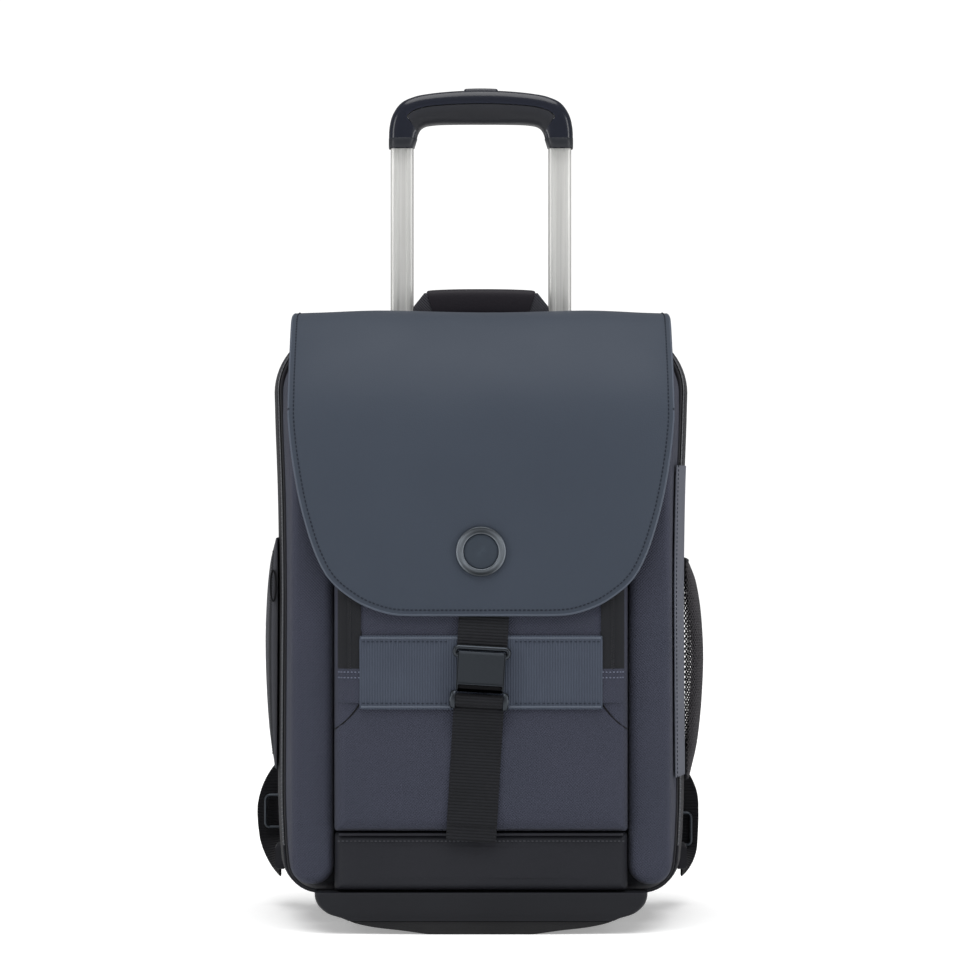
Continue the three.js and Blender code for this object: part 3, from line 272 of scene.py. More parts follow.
# %% Material base
def shader(name, roughness, metallic=0.0, specular=0.2, sheen=0.0, coat=0.0):
    material = bpy.data.materials.new(name)
    material.use_nodes = True
    tree = material.node_tree
    base = tree.nodes["Principled BSDF"]
    settings = {"Roughness": roughness, "Metallic": metallic, "Specular IOR Level": specular,
                "Sheen Weight": sheen, "Sheen Roughness": 0.5, "Coat Weight": coat, "Coat Roughness": 0.15}
    for key, value in settings.items():
        base.inputs[key].default_value = value
    return material, tree, base


def effect(tree, group, **inputs):
    made = tree.nodes.new("ShaderNodeGroup")
    made.node_tree = group
    for key, value in inputs.items():
        label = key.replace("_", " ")
        if isinstance(value, bpy.types.NodeSocket):
            tree.links.new(value, made.inputs[label])
        else:
            made.inputs[label].default_value = value
    return made.outputs


def raised(tree, base, height, depth, strength=1.0):
    """Feeds a height to the shader's normal as relief of a real depth in metres."""
    bump = node(tree, "ShaderNodeBump", {"Height": height, "Distance": depth, "Strength": strength})
    tree.links.new(bump.outputs["Normal"], base.inputs["Normal"])


def cloth(name, colour, second, pitch=0.0007, depth=0.00012, roughness=0.8, specular=0.1, sheen=0.05,
          patch=0.08, speck_share=0.35):
    """Woven cloth: two close tones, a fine plain weave and a soft sheen."""
    material, tree, base = shader(name, roughness, specular=specular, sheen=sheen)
    tone = effect(tree, TONE, Colour=colour, Second=second, Patch=patch, Speck=0.0014,
                  Speck_share=speck_share)
    tree.links.new(tone["Colour"], base.inputs["Base Color"])
    weave = effect(tree, WEAVE, Pitch=pitch)
    raised(tree, base, weave["Height"], depth)
    return material


def ribbed(name, colour, second, direction, pitch, depth, roughness=0.75, specular=0.12, dark=0.45):
    """Webbing or ribbed cloth: round ribs with shade painted into the colour between them, over a fine weave.
    """
    material, tree, base = shader(name, roughness, specular=specular, sheen=0.03)
    ribs = effect(tree, RIBS, Pitch=pitch, Direction=direction)
    weave = effect(tree, WEAVE, Pitch=0.0006)
    tone = effect(tree, TONE, Colour=colour, Second=second, Patch=0.03, Speck=0.001, Speck_share=0.5)
    # Painted shade: the colour is darkened in the valleys between the ribs, by the share that dark gives.
    rib_shade = node(tree, "ShaderNodeMapRange", {"Value": ribs["Height"], "To Min": 1 - dark, "To Max": 1.0})
    shade = node(tree, "ShaderNodeVectorMath", {0: tone["Colour"], "Scale": rib_shade.outputs["Result"]},
                 operation="SCALE")
    tree.links.new(shade.outputs[0], base.inputs["Base Color"])
    height = arithmetic(tree, "ADD", ribs["Height"], arithmetic(tree, "MULTIPLY", weave["Height"], 0.2))
    raised(tree, base, height, depth)
    return material


def coated(name, colour, second, cell, depth, roughness, specular, sheen=0.0, coat=0.0, patch=0.12):
    """Coated cloth, hide or moulded plastic: a pebbled grain that also varies the gloss."""
    material, tree, base = shader(name, roughness, specular=specular, sheen=sheen, coat=coat)
    tone = effect(tree, TONE, Colour=colour, Second=second, Patch=patch, Speck=cell, Speck_share=0.15)
    grain = effect(tree, GRAIN, Cell=cell, Depth=0.6)
    worn = effect(tree, WEAR)
    lighter = tuple(min(1, c * 1.5) for c in colour[:3]) + (1,)
    tree.links.new(mixed(tree, arithmetic(tree, "MULTIPLY", worn["Mask"], 0.5), tone["Colour"], lighter),
                   base.inputs["Base Color"])
    gloss = node(tree, "ShaderNodeMapRange", {"Value": tone["Mask"], "To Min": roughness - 0.06,
                                              "To Max": roughness + 0.06})
    tree.links.new(gloss.outputs["Result"], base.inputs["Roughness"])
    raised(tree, base, grain["Height"], depth)
    return material


def brushed(name, colour, second, roughness, stretch=(1, 1, 0.02), metallic=1.0, scale=2500.0):
    """Brushed or bead-blasted metal: fine noise drawn out along one direction."""
    material, tree, base = shader(name, roughness, metallic=metallic, specular=0.5)
    place = node(tree, "ShaderNodeTexCoord").outputs["Object"]
    drawn = node(tree, "ShaderNodeVectorMath", {0: place, 1: stretch}, operation="MULTIPLY")
    lines = node(tree, "ShaderNodeTexNoise", {"Vector": drawn.outputs[0], "Scale": scale, "Detail": 2.0})
    tree.links.new(mixed(tree, lines.outputs[0], colour, second), base.inputs["Base Color"])
    gloss = node(tree, "ShaderNodeMapRange", {"Value": lines.outputs[0], "To Min": roughness - 0.08,
                                              "To Max": roughness + 0.08})
    tree.links.new(gloss.outputs["Result"], base.inputs["Roughness"])
    raised(tree, base, lines.outputs[0], 0.00003)
    return material


def paint_end_shade(material, start, end, strength):
    """Paints shade into a finish's colour towards the top and the bottom of its piece, where a dished ring
    catches less light.
    """
    tree = material.node_tree
    base = tree.nodes["Principled BSDF"]
    colour = base.inputs["Base Color"].links[0].from_socket
    place = node(tree, "ShaderNodeSeparateXYZ", {0: node(tree, "ShaderNodeTexCoord").outputs["Generated"]})
    off = node(tree, "ShaderNodeMath", {0: place.outputs["Z"], 1: 0.5}, operation="SUBTRACT")
    far = node(tree, "ShaderNodeMath", {0: off.outputs[0]}, operation="ABSOLUTE")
    share = node(tree, "ShaderNodeMapRange", {"Value": far.outputs[0], "From Min": start, "From Max": end,
                                              "To Min": 1.0, "To Max": strength})
    scaled = node(tree, "ShaderNodeVectorMath", {0: colour, 1: share.outputs["Result"]}, operation="MULTIPLY")
    tree.links.new(scaled.outputs[0], base.inputs["Base Color"])
    return material


# %% [markdown]
# The finishes of this bag. The body is a dark navy nylon, the flap a smoother slate-blue coated cloth,
# and the back, base and zips are black. The tubes are pale anodised aluminium.

# %% The finishes
NAVY = cloth("navy_cloth", ink(62, 64, 77), ink(58, 61, 73), pitch=0.0012, depth=0.0003)
BLACK = cloth("black_cloth", ink(44, 45, 49), ink(38, 38, 42), pitch=0.0009)
# A near-black finish for the pocket seam lines, and for the painted shadow inside the buckle's slot.
DARK_SEAM_AND_SHADE = cloth("dark_seam_and_shade", ink(20, 20, 23), ink(16, 16, 18))
PADDED = cloth("padded_mesh", ink(60, 61, 67), ink(44, 45, 50), pitch=0.0024, depth=0.0006, patch=0.05)
BASE = coated("base_cloth", ink(38, 39, 44), ink(35, 36, 41), 0.0012, 0.00015, 0.6, 0.15)
HIDE = coated("flap_cloth", ink(60, 67, 78), ink(57, 64, 75), 0.0011, 0.00008, 0.55, 0.15, sheen=0.04)
BAND = ribbed("ribbed_cloth", ink(72, 79, 92), ink(66, 72, 85), (1, 0, 0), 0.0021, 0.0003, dark=0.22)
STORM = cloth("storm_cloth", ink(96, 99, 109), ink(91, 94, 104))
SIDE_CLOTH = cloth("side_pocket_cloth", ink(72, 73, 78), ink(66, 67, 72))
WEBBING = ribbed("webbing", ink(36, 37, 41), ink(31, 32, 35), (0.0576, 0, 0.9983), 0.0025, 0.0005)
SIDE_WEB = ribbed("side_webbing", ink(22, 22, 26), ink(18, 18, 21), (0, 0.35, 0.94), 0.0025, 0.0005)
WRAP = coated("handle_wrap", ink(36, 33, 39), ink(33, 30, 36), 0.001, 0.0001, 0.55, 0.2)
TWILL = ribbed("twill_webbing", ink(74, 74, 80), ink(52, 52, 57), (0.707, 0, 0.707), 0.0017, 0.0004)
TAPE = cloth("zip_tape_cloth", ink(37, 38, 41), ink(33, 34, 37), pitch=0.001)
# The body zip coil is partly its own dark grey and partly painted glint: its colour is lightened so the tooth
# tips read bright.
BODY_COIL_AND_GLINT = coated("zip_coil", ink(70, 72, 77), ink(56, 58, 63), 0.0006, 0.00005, 0.35, 0.5)
POCKET_COIL = coated("pocket_zip_coil", ink(42, 43, 46), ink(34, 35, 38), 0.0006, 0.00005, 0.5, 0.2)
THREAD = cloth("navy_thread", ink(112, 117, 133), ink(98, 103, 120), pitch=0.0003, depth=0.00005)
SLATE_THREAD = cloth("slate_thread", ink(42, 47, 56), ink(36, 40, 49), pitch=0.0003, depth=0.00005)
BLACK_THREAD = cloth("black_thread", ink(30, 31, 34), ink(25, 26, 28), pitch=0.0003, depth=0.00005)
GREY_THREAD = cloth("grey_thread", ink(72, 74, 79), ink(62, 64, 69), pitch=0.0003, depth=0.00005)
EDGING = coated("flap_edging", ink(74, 81, 93), ink(69, 76, 88), 0.0008, 0.00005, 0.5, 0.3)
NET = cloth("netting", ink(62, 60, 64), ink(48, 46, 50), pitch=0.0004, depth=0.0001, specular=0.5)
GRIP = coated("grip_gloss", ink(30, 33, 44), ink(28, 31, 41), 0.0004, 0.00001, 0.2, 0.35, coat=0.15)
MATTE = coated("matte_plastic", ink(40, 41, 46), ink(37, 38, 42), 0.0006, 0.00006, 0.5, 0.25)
CUFF = coated("grip_cuff", ink(42, 44, 49), ink(38, 40, 45), 0.0006, 0.00004, 0.35, 0.3)
FOOT = coated("foot_plastic", ink(33, 34, 38), ink(30, 31, 35), 0.0007, 0.00003, 0.34, 0.14)
TYRE = coated("tyre_rubber", ink(30, 30, 32), ink(25, 25, 27), 0.001, 0.0001, 0.8, 0.3)
TUBE = brushed("tube_metal", ink(246, 246, 243), ink(192, 192, 189), 0.4, metallic=0.4, scale=380.0)
BADGE = brushed("badge_metal", ink(130, 137, 144), ink(118, 124, 131), 0.36, (1, 1, 1))
# Painted shade: the badge ring's colour is darkened at its top and bottom.
paint_end_shade(BADGE, 0.24, 0.45, 0.3)
BADGE_FACE = coated("badge_face", ink(54, 61, 70), ink(50, 57, 66), 0.0008, 0.00005, 0.6, 0.15)
BUCKLE = brushed("buckle_metal", ink(66, 70, 75), ink(58, 62, 67), 0.36, (1, 1, 1))
floor_finish = coated("studio_floor", ink(250, 250, 250), ink(246, 246, 246), 0.002, 0.00001, 0.9, 0.1)
floor_tree = floor_finish.node_tree
seen = node(floor_tree, "ShaderNodeLightPath").outputs["Is Camera Ray"]
floor_base = floor_tree.nodes["Principled BSDF"]
floor_base.inputs["Emission Color"].default_value = (1, 1, 1, 1)
floor_tree.links.new(arithmetic(floor_tree, "MULTIPLY", seen, FLOOR_GLOW),
                     floor_base.inputs["Emission Strength"])
print("finishes:", len(bpy.data.materials))

# %% [markdown]
# The pieces are made from grids of points. A smooth curve passes through a few chosen points, and a
# sheet is a grid with a thickness and a rolled edge, so cloth never ends in a knife edge.


# %% Curves
def even(line, count):
    """Points evenly spaced along a line of points."""
    line = np.asarray(line, float)
    run = np.concatenate([[0], np.cumsum(np.linalg.norm(np.diff(line, axis=0), axis=1))])
    at = np.linspace(0, run[-1], count)
    return np.stack([np.interp(at, run, line[:, k]) for k in range(line.shape[1])], axis=1)


def spline(points, count, power=0.5):
    """Points evenly spaced on a smooth curve through the given ones."""
    p = np.asarray(points, float)
    p = np.vstack([2 * p[0] - p[1], p, 2 * p[-1] - p[-2]])
    step = np.linalg.norm(np.diff(p, axis=0), axis=1) ** power
    t = np.linspace(0, 1, 40, endpoint=False)[:, None]
    fine = []
    for i in range(1, len(p) - 2):
        a, b, c = step[i - 1:i + 2]
        leave = ((p[i] - p[i - 1]) / a - (p[i + 1] - p[i - 1]) / (a + b)) * b + p[i + 1] - p[i]
        arrive = p[i + 1] - p[i] + ((p[i + 2] - p[i + 1]) / c - (p[i + 2] - p[i]) / (b + c)) * b
        fine.append((2 * t**3 - 3 * t**2 + 1) * p[i] + (t**3 - 2 * t**2 + t) * leave
                    + (3 * t**2 - 2 * t**3) * p[i + 1] + (t**3 - t**2) * arrive)
    return even(np.vstack(fine + [p[-2:-1]]), count)


def unit(vectors):
    vectors = np.asarray(vectors, float)
    return vectors / (np.linalg.norm(vectors, axis=-1, keepdims=True) + 1e-12)


def ripple(points, size, depth, seed=0.0):
    """Small smooth heights at points, for cloth that is never quite flat."""
    flat = np.asarray(points).reshape(-1, 3)
    values = [noise.noise(Vector(p / size) + Vector((seed, seed, seed))) for p in flat]
    return depth * np.array(values).reshape(np.asarray(points).shape[:-1])


# %% Mesh makers
def grid_faces(rows, columns, start=0, wrap=False):
    faces = []
    for j in range(rows - 1):
        for i in range(columns if wrap else columns - 1):
            a, b = start + j * columns + i, start + j * columns + (i + 1) % columns
            faces.append((a, b, b + columns, a + columns))
    return faces


def facing(grid, outward):
    """The grid's normals, turned to the side that outward names."""
    normal = unit(np.cross(np.gradient(grid, axis=1), np.gradient(grid, axis=0)))
    return normal if (normal @ np.asarray(outward, float)).sum() > 0 else -normal


def sheet_of(grid, thickness, outward, rim=3):
    """A closed sheet under a grid of points, with a rolled edge all round."""
    grid = np.asarray(grid, float)
    rows, columns = grid.shape[:2]
    normal = facing(grid, outward)
    middle = grid - normal * thickness / 2
    loop = ([(0, i) for i in range(columns)] + [(j, columns - 1) for j in range(1, rows)]
            + [(rows - 1, i) for i in range(columns - 2, -1, -1)] + [(j, 0) for j in range(rows - 2, 0, -1)])
    out = np.zeros_like(grid)
    out[0] += unit(grid[0] - grid[1])
    out[-1] += unit(grid[-1] - grid[-2])
    out[:, 0] += unit(grid[:, 0] - grid[:, 1])
    out[:, -1] += unit(grid[:, -1] - grid[:, -2])
    edge = np.array(loop)
    edge_out = unit(out[edge[:, 0], edge[:, 1]])
    edge_middle = middle[edge[:, 0], edge[:, 1]]
    edge_normal = normal[edge[:, 0], edge[:, 1]]
    vertices = [grid.reshape(-1, 3), (grid - normal * thickness).reshape(-1, 3)]
    size = rows * columns
    rings = [[j * columns + i for j, i in loop]]
    for k in range(1, rim + 1):
        angle = math.pi * k / (rim + 1)
        around = edge_normal * math.cos(angle) + edge_out * math.sin(angle)
        vertices.append(edge_middle + around * thickness / 2)
        rings.append([2 * size + (k - 1) * len(loop) + n for n in range(len(loop))])
    rings.append([size + j * columns + i for j, i in loop])
    faces = grid_faces(rows, columns) + [f[::-1] for f in grid_faces(rows, columns, size)]
    for a, b in zip(rings, rings[1:]):
        for n in range(len(loop)):
            m = (n + 1) % len(loop)
            faces.append((a[n], b[n], b[m], a[m]))
    return np.vstack(vertices), faces


def loft_of(rings, ladder=True):
    """A closed solid through rings of equal count. A ladder cap pairs point i with the one across."""
    rings = np.asarray(rings, float)
    rows, count = rings.shape[:2]
    faces = grid_faces(rows, count, wrap=True)
    for start in (0, (rows - 1) * count):
        if ladder:
            for i in range(count // 2 - 1):
                faces.append((start + i, start + i + 1, start + count - 2 - i, start + count - 1 - i))
        else:
            faces.append(tuple(range(start, start + count)))
    return rings.reshape(-1, 3), faces


def tube_of(path, radius, side, sides=8, closed=False):
    """A round tube along a path. side is a direction that the path never takes."""
    path = np.asarray(path, float)
    if closed:
        tangent = unit(np.roll(path, -1, axis=0) - np.roll(path, 1, axis=0))
    else:
        tangent = unit(np.gradient(path, axis=0))
    first = unit(np.cross(tangent, np.asarray(side, float)))
    second = np.cross(tangent, first)
    angle = np.linspace(0, 2 * math.pi, sides, endpoint=False)
    rings = (path[:, None] + radius * (first[:, None] * np.cos(angle)[None, :, None]
                                       + second[:, None] * np.sin(angle)[None, :, None]))
    if closed:
        faces = []
        for j in range(len(path)):
            for i in range(sides):
                k, m = (j + 1) % len(path), (i + 1) % sides
                faces.append((j * sides + i, j * sides + m, k * sides + m, k * sides + i))
        return rings.reshape(-1, 3), faces
    return loft_of(rings, ladder=False)


def lathe_of(profile, centre, axis, sides=64):
    """A closed profile of (radius, along) turned about an axis, 0 for X, 1 for Y or 2 for Z."""
    angle = np.linspace(0, 2 * math.pi, sides, endpoint=False)
    profile = np.asarray(profile, float)
    rings = np.zeros((sides, len(profile), 3))
    rings[..., axis] = profile[None, :, 1]
    rings[..., (axis + 1) % 3] = np.cos(angle)[:, None] * profile[None, :, 0]
    rings[..., (axis + 2) % 3] = np.sin(angle)[:, None] * profile[None, :, 0]
    count = len(profile)
    faces = []
    for j in range(sides):
        for i in range(count):
            k, m = (j + 1) % sides, (i + 1) % count
            faces.append((j * count + i, j * count + m, k * count + m, k * count + i))
    return (rings + np.asarray(centre, float)).reshape(-1, 3), faces


def merged(parts):
    """Several meshes as one."""
    vertices, faces, start = [], [], 0
    for part_vertices, part_faces in parts:
        vertices.append(np.asarray(part_vertices))
        faces += [tuple(start + i for i in face) for face in part_faces]
        start += len(part_vertices)
    return np.vstack(vertices), faces


def mesh_object(name, mesh_parts, sharp=35):
    vertices, faces = mesh_parts
    mesh = bpy.data.meshes.new(name)
    mesh.from_pydata([tuple(v) for v in np.asarray(vertices).tolist()], [], faces)
    work = bmesh.new()
    work.from_mesh(mesh)
    bmesh.ops.remove_doubles(work, verts=work.verts, dist=1e-6)
    bmesh.ops.recalc_face_normals(work, faces=work.faces)
    work.to_mesh(mesh)
    work.free()
    mesh.shade_smooth()
    mesh.set_sharp_from_angle(angle=math.radians(sharp))
    made = bpy.data.objects.new(name, mesh)
    scene.collection.objects.link(made)
    return made


def piece(name, mesh_parts, material, stands_for=(), body="bag", sharp=35):
    """A finished piece of the bag: it takes a finish, stands for CAD nodes and rides on a body."""
    made = mesh_parts if isinstance(mesh_parts, bpy.types.Object) else mesh_object(name, mesh_parts, sharp)
    made.data.materials.clear()
    made.data.materials.append(material)
    if stands_for:
        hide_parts(*([stands_for] if isinstance(stands_for, str) else stands_for))
    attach(made, body)
    print(f"{name}: {len(made.data.polygons)} faces")
    return made


def settled(made):
    """Applies the modifiers of an object to its mesh."""
    graph = bpy.context.evaluated_depsgraph_get()
    mesh = bpy.data.meshes.new_from_object(made.evaluated_get(graph))
    made.modifiers.clear()
    made.data = mesh
    return made


def carved(made, tools, operation="DIFFERENCE", sharp=35):
    """Cuts an object by tools, or keeps what lies inside them."""
    for tool in tools:
        cut = made.modifiers.new("cut", "BOOLEAN")
        cut.solver = "EXACT"
        cut.operation = operation
        cut.object = tool
        settled(made)
        bpy.data.objects.remove(tool)
    made.data.shade_smooth()
    made.data.set_sharp_from_angle(angle=math.radians(sharp))
    return made


def box_tool(low, high):
    """A plain box that cuts other pieces and is then thrown away."""
    (x0, y0, z0), (x1, y1, z1) = low, high
    corners = [(x, y, z) for z in (z0, z1) for x, y in ((x0, y0), (x1, y0), (x1, y1), (x0, y1))]
    faces = [(0, 3, 2, 1), (4, 5, 6, 7), (0, 1, 5, 4), (1, 2, 6, 5), (2, 3, 7, 6), (3, 0, 4, 7)]
    return mesh_object("cutter", (corners, faces))


# %% Stitches
def stitches_of(path, outward, pitch=0.0033, length=0.0021, radius=0.00038):
    """Short raised threads, evenly spaced along a path on a surface."""
    path = np.asarray(path, float)
    total = np.linalg.norm(np.diff(path, axis=0), axis=1).sum()
    count = max(2, int(total / pitch))
    centre = even(path, count)
    along = unit(np.gradient(centre, axis=0))
    outward = np.asarray(outward, float)
    out = np.broadcast_to(outward, centre.shape) if outward.ndim == 1 else even(outward, count)
    out = unit(out - along * (out * along).sum(axis=1, keepdims=True))
    across = np.cross(along, out)
    angle = np.linspace(0, 2 * math.pi, 6, endpoint=False)
    local = []
    for place, share in ((-0.5, 0.35), (-0.28, 1), (0.28, 1), (0.5, 0.35)):
        local += [(place * length, share * radius * math.cos(a), share * radius * math.sin(a)) for a in angle]
    local = np.array(local)
    vertices = (centre[:, None] + along[:, None] * local[None, :, 0:1] + out[:, None] * local[None, :, 1:2]
                + across[:, None] * local[None, :, 2:3])
    one = grid_faces(4, 6, wrap=True) + [tuple(range(6)), tuple(range(18, 24))]
    faces = [tuple(24 * n + i for i in face) for n in range(count) for face in one]
    return vertices.reshape(-1, 3), faces


print("makers ready")

# %% [markdown]
# The floor is one large plane with a pale finish. It is stage, not part of the bag.

# %% Floor
half_floor = FLOOR_SIZE / 2
floor = mesh_object("floor", ([(-half_floor, -half_floor, 0), (half_floor, -half_floor, 0),
                               (half_floor, half_floor, 0), (-half_floor, half_floor, 0)], [(0, 1, 2, 3)]))
floor.data.materials.append(floor_finish)
floor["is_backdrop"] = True

# %% [markdown]
# The body is a soft box: its front edge is rounded, its sides have a slight waist, and its top leans
# back. Sections of one outline are lofted from front to back, hollowed, and cut into the navy front,
# the black zip band and the black rear, as the three cloths are sewn together.

# %% Body outline
rear_low, rear_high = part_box("rear_shell")
front_low, front_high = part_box("front_shell")
band_low, band_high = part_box("zip_band")
# Shares of the half width at shares of the height
WAIST = [(0.072, 0.983), (0.15, 1), (0.32, 0.997), (0.55, 0.993), (0.72, 1), (0.81, 1.011), (0.883, 1.017)]
TOP_ROUND, BOTTOM_ROUND, EDGE_ROUND = 0.055, 0.034, 0.022
TOP_LEAN, LEAN_HEIGHT = 0.04, 0.088
BODY_WALL = 0.003
body_base, body_top = rear_low.z, rear_high.z
body_height = body_top - body_base
body_half = rear_high.x / WAIST[-1][1]
body_front, body_back = front_low.y, rear_high.y
level = np.linspace(0, 1, 201)
waist_line = np.interp(level, [h for h, _ in WAIST], [w for _, w in WAIST])
waist_line = np.convolve(np.pad(waist_line, 12, mode="edge"), np.ones(25) / 25, mode="valid")


def body_half_at(z):
    return body_half * np.interp((np.asarray(z) - body_base) / body_height, level, waist_line)


def lean_at(z):
    share = np.maximum(0, (np.asarray(z) - (body_top - LEAN_HEIGHT)) / LEAN_HEIGHT)
    return TOP_LEAN * share**2


def arc(x, z, radius, start, end, count):
    angle = np.radians(np.linspace(start, end, count))
    return [(x + radius * math.cos(a), z + radius * math.sin(a)) for a in angle]


def body_side(inset):
    """Right half of the outline in XZ, bottom to top, pulled in by inset."""
    low = body_half * WAIST[0][1] - BOTTOM_ROUND
    high = body_half * WAIST[-1][1] - TOP_ROUND
    sides = np.linspace(body_base + BOTTOM_ROUND + 0.012, body_top - TOP_ROUND - 0.012, 34)
    bottom = [(x, body_base + inset) for x in np.linspace(0.002, low, 8)[:-1]]
    top = [(x, body_top - inset) for x in np.linspace(high, 0.002, 10)[1:]]
    return np.array(bottom + arc(low, body_base + BOTTOM_ROUND, BOTTOM_ROUND - inset, -90, 0, 12)
                    + [(body_half_at(z) - inset, z) for z in sides]
                    + arc(high, body_top - TOP_ROUND, TOP_ROUND - inset, 0, 90, 18) + top)


def body_ring(inset, depth, wall=0.0):
    right = body_side(inset + wall)
    outline = np.vstack([right, right[::-1] * (-1, 1)])
    front = body_front + lean_at(outline[:, 1]) + wall
    y = front + (body_back - wall - front) * depth
    return np.stack([outline[:, 0], y, outline[:, 1]], axis=1)


# %% Body shells
# Depth as a share, inset as a share of the edge round
SECTIONS = [(0, 0.84), (0.035, 0.68), (0.1, 0.57), (0.2, 0.44), (0.3, 0.3), (0.4, 0.15), (0.5, 0.05),
            (0.59, 0),
            (0.76, 0), (0.94, 0), (0.98, 0.16), (1, 0.4)]
MOUTH_HALF, MOUTH_BACK, MOUTH_DROP = 0.12, 0.042, 0.018
FAR = 1.0
section_line = spline([(d, i, 0) for d, i in SECTIONS], 44)


def body_solid(wall):
    rings = [body_ring(max(0, inset) * EDGE_ROUND, min(depth, 1), wall) for depth, inset, _ in section_line]
    return mesh_object("shell", loft_of(rings))


def copied(source):
    twin = source.copy()
    twin.data = source.data.copy()
    scene.collection.objects.link(twin)
    return twin


HOUSING_REACH, HOUSING_FOOT = 0.0373, 0.0137


def housing_tool(sign):
    """The room that a wheel housing takes, a little larger than the housing."""
    low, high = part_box("wheel_housing_right" if sign > 0 else "wheel_housing_left")
    centre = ((low.x + high.x) / 2, (low.y + high.y) / 2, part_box("tyre_right")[1].z / 2)
    half = (high.x - low.x) / 2 + 0.0003
    profile = [(0.0001, -half), (HOUSING_REACH, -half), (HOUSING_REACH, half), (0.0001, half)]
    drum = mesh_object("cutter", lathe_of(profile, centre, 0, 96))
    floor_box = box_tool((centre[0] - FAR, -FAR, -FAR), (centre[0] + FAR, FAR, HOUSING_FOOT))
    return carved(drum, [floor_box])


mouth_floor = body_top - MOUTH_DROP
mouth_front = body_front + float(lean_at(mouth_floor)) - BODY_WALL
shell = carved(body_solid(0.0), [body_solid(BODY_WALL)])
shell = carved(shell, [box_tool((-MOUTH_HALF, mouth_front, mouth_floor), (MOUTH_HALF, MOUTH_BACK, FAR)),
                       housing_tool(-1), housing_tool(1)])
FOOT_SEAM = 0.052
# A known fault: the zip band comes out of this cut as its two edge-on faces, without
# the cloth between them. The zip tape hides it, except low down at the sides.
bands = (("bag_front", "front_shell", (-FAR, front_high.y), (FOOT_SEAM, FAR), NAVY, "navy_cloth"),
         ("bag_front_base", "front_shell", (-FAR, front_high.y), (-FAR, FOOT_SEAM), BASE, "black_cloth"),
         ("bag_zip_band", "zip_band", (band_low.y, band_high.y), (-FAR, FAR), BLACK, "black_cloth"),
         ("bag_rear", "rear_shell", (rear_low.y, FAR), (-FAR, FAR), BLACK, "black_cloth"))
for name, stands_for, (y0, y1), (z0, z1), material, slot in bands:
    part = carved(copied(shell), [box_tool((-FAR, y0, z0), (FAR, y1, z1))], "INTERSECT")
    part.name = name
    piece(name, part, material, stands_for)
bpy.data.objects.remove(shell)

# %% [markdown]
# Each seam of the band carries a thin piping, which catches a line of light round the bag.

# %% Piping on the seams
PIPING = 0.0014


def outline_path(y, outset):
    """The body's outline at one depth, a little outside the cloth."""
    depth = (y - body_front) / (body_back - body_front)
    inset = float(np.interp(depth, section_line[:, 0], section_line[:, 1])) * EDGE_ROUND
    right = body_side(inset - outset)
    return np.array([(x, y, z) for x, z in np.vstack([right, right[::-1] * (-1, 1)])])


for name, y in (("piping_front", (front_high.y + band_low.y) / 2),
                ("piping_rear", (band_high.y + rear_low.y) / 2)):
    piece(name, tube_of(outline_path(y, 0.0002), PIPING, (0, 1, 0), 8, closed=True), BLACK)

# %% [markdown]
# A coil zip runs up one side, over the shoulders and down the other. It is a narrow tape with two rows
# of small teeth that meet in the middle, and each tooth is one short block repeated along the tape.

# %% Body zip
TOOTH_PITCH, TOOTH_LENGTH, TOOTH_HEIGHT = 0.0034, 0.003, 0.0014
chain_low, chain_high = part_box("zip_chain")


def teeth_of(path, out, across, pitch=TOOTH_PITCH, length=TOOTH_LENGTH, height=TOOTH_HEIGHT):
    """Two rows of teeth along a path: out is the surface's normal and across the zip's width."""
    total = np.linalg.norm(np.diff(path, axis=0), axis=1).sum()
    count = int(total / pitch)
    centre = even(path, count)
    along = unit(np.gradient(centre, axis=0))
    out = even(out, count)
    across = np.broadcast_to(np.asarray(across, float), centre.shape)
    parts = []
    shape = [(a, b, c) for a, b, c in ((-1, -1, 0), (1, -1, 0), (1, 1, 0), (-1, 1, 0),
                                       (-0.7, -0.7, 1), (0.7, -0.7, 1), (0.7, 0.7, 1), (-0.7, 0.7, 1))]
    faces = [(0, 3, 2, 1), (4, 5, 6, 7), (0, 1, 5, 4), (1, 2, 6, 5), (2, 3, 7, 6), (3, 0, 4, 7)]
    for side in (-1, 1):
        shift = across * side * length * 0.45 + along * side * pitch * 0.25
        for n in range(count):
            a = along[n] * pitch * 0.32
            b = across[n] * length / 2
            c = out[n] * height
            parts.append((np.array([centre[n] + shift[n] + u * a + v * b + w * c for u, v, w in shape]),
                          faces))
    return merged(parts)


chain_y = (chain_low.y + chain_high.y) / 2
chain_path = outline_path(chain_y, 0.0009)
keep = [n for n, p in enumerate(chain_path) if p[2] > chain_low.z]
chain_path = chain_path[keep]
chain_out = unit(np.stack([-np.gradient(chain_path[:, 2]), np.zeros(len(chain_path)),
                           np.gradient(chain_path[:, 0])], axis=1))
chain_out *= np.sign((chain_out * (chain_path - (0, chain_y, 0.25))).sum(axis=1, keepdims=True))
tape_grid = np.stack([chain_path + chain_out * 0.0004 + np.array([0, s * 0.0035, 0])
                      for s in (-1, -0.3, 0.3, 1)],
                     axis=1)
tape_vertices, tape_faces = sheet_of(tape_grid, 0.0008, (0, 0, 1))
teeth = teeth_of(chain_path + chain_out * 0.0004, chain_out, (0, 1, 0))
piece("body_zip_tape", (tape_vertices, tape_faces), TAPE, "zip_chain")
piece("body_zip_teeth", teeth, BODY_COIL_AND_GLINT)

# %% [markdown]
# The panels on the front are sewn pads: flat where they meet the bag, with a rounded, slightly
# pulled-in edge. Rings of one outline are stacked from the back of the pad to its crown.

# %% Sewn pads
# Rise as a share of the pad's depth, inset as a share of its edge round
PAD_PROFILE = [(0, 0), (0.5, 0), (0.8, 0.3), (0.95, 0.85), (1, 1.9)]
PANEL_ROUND = 0.009


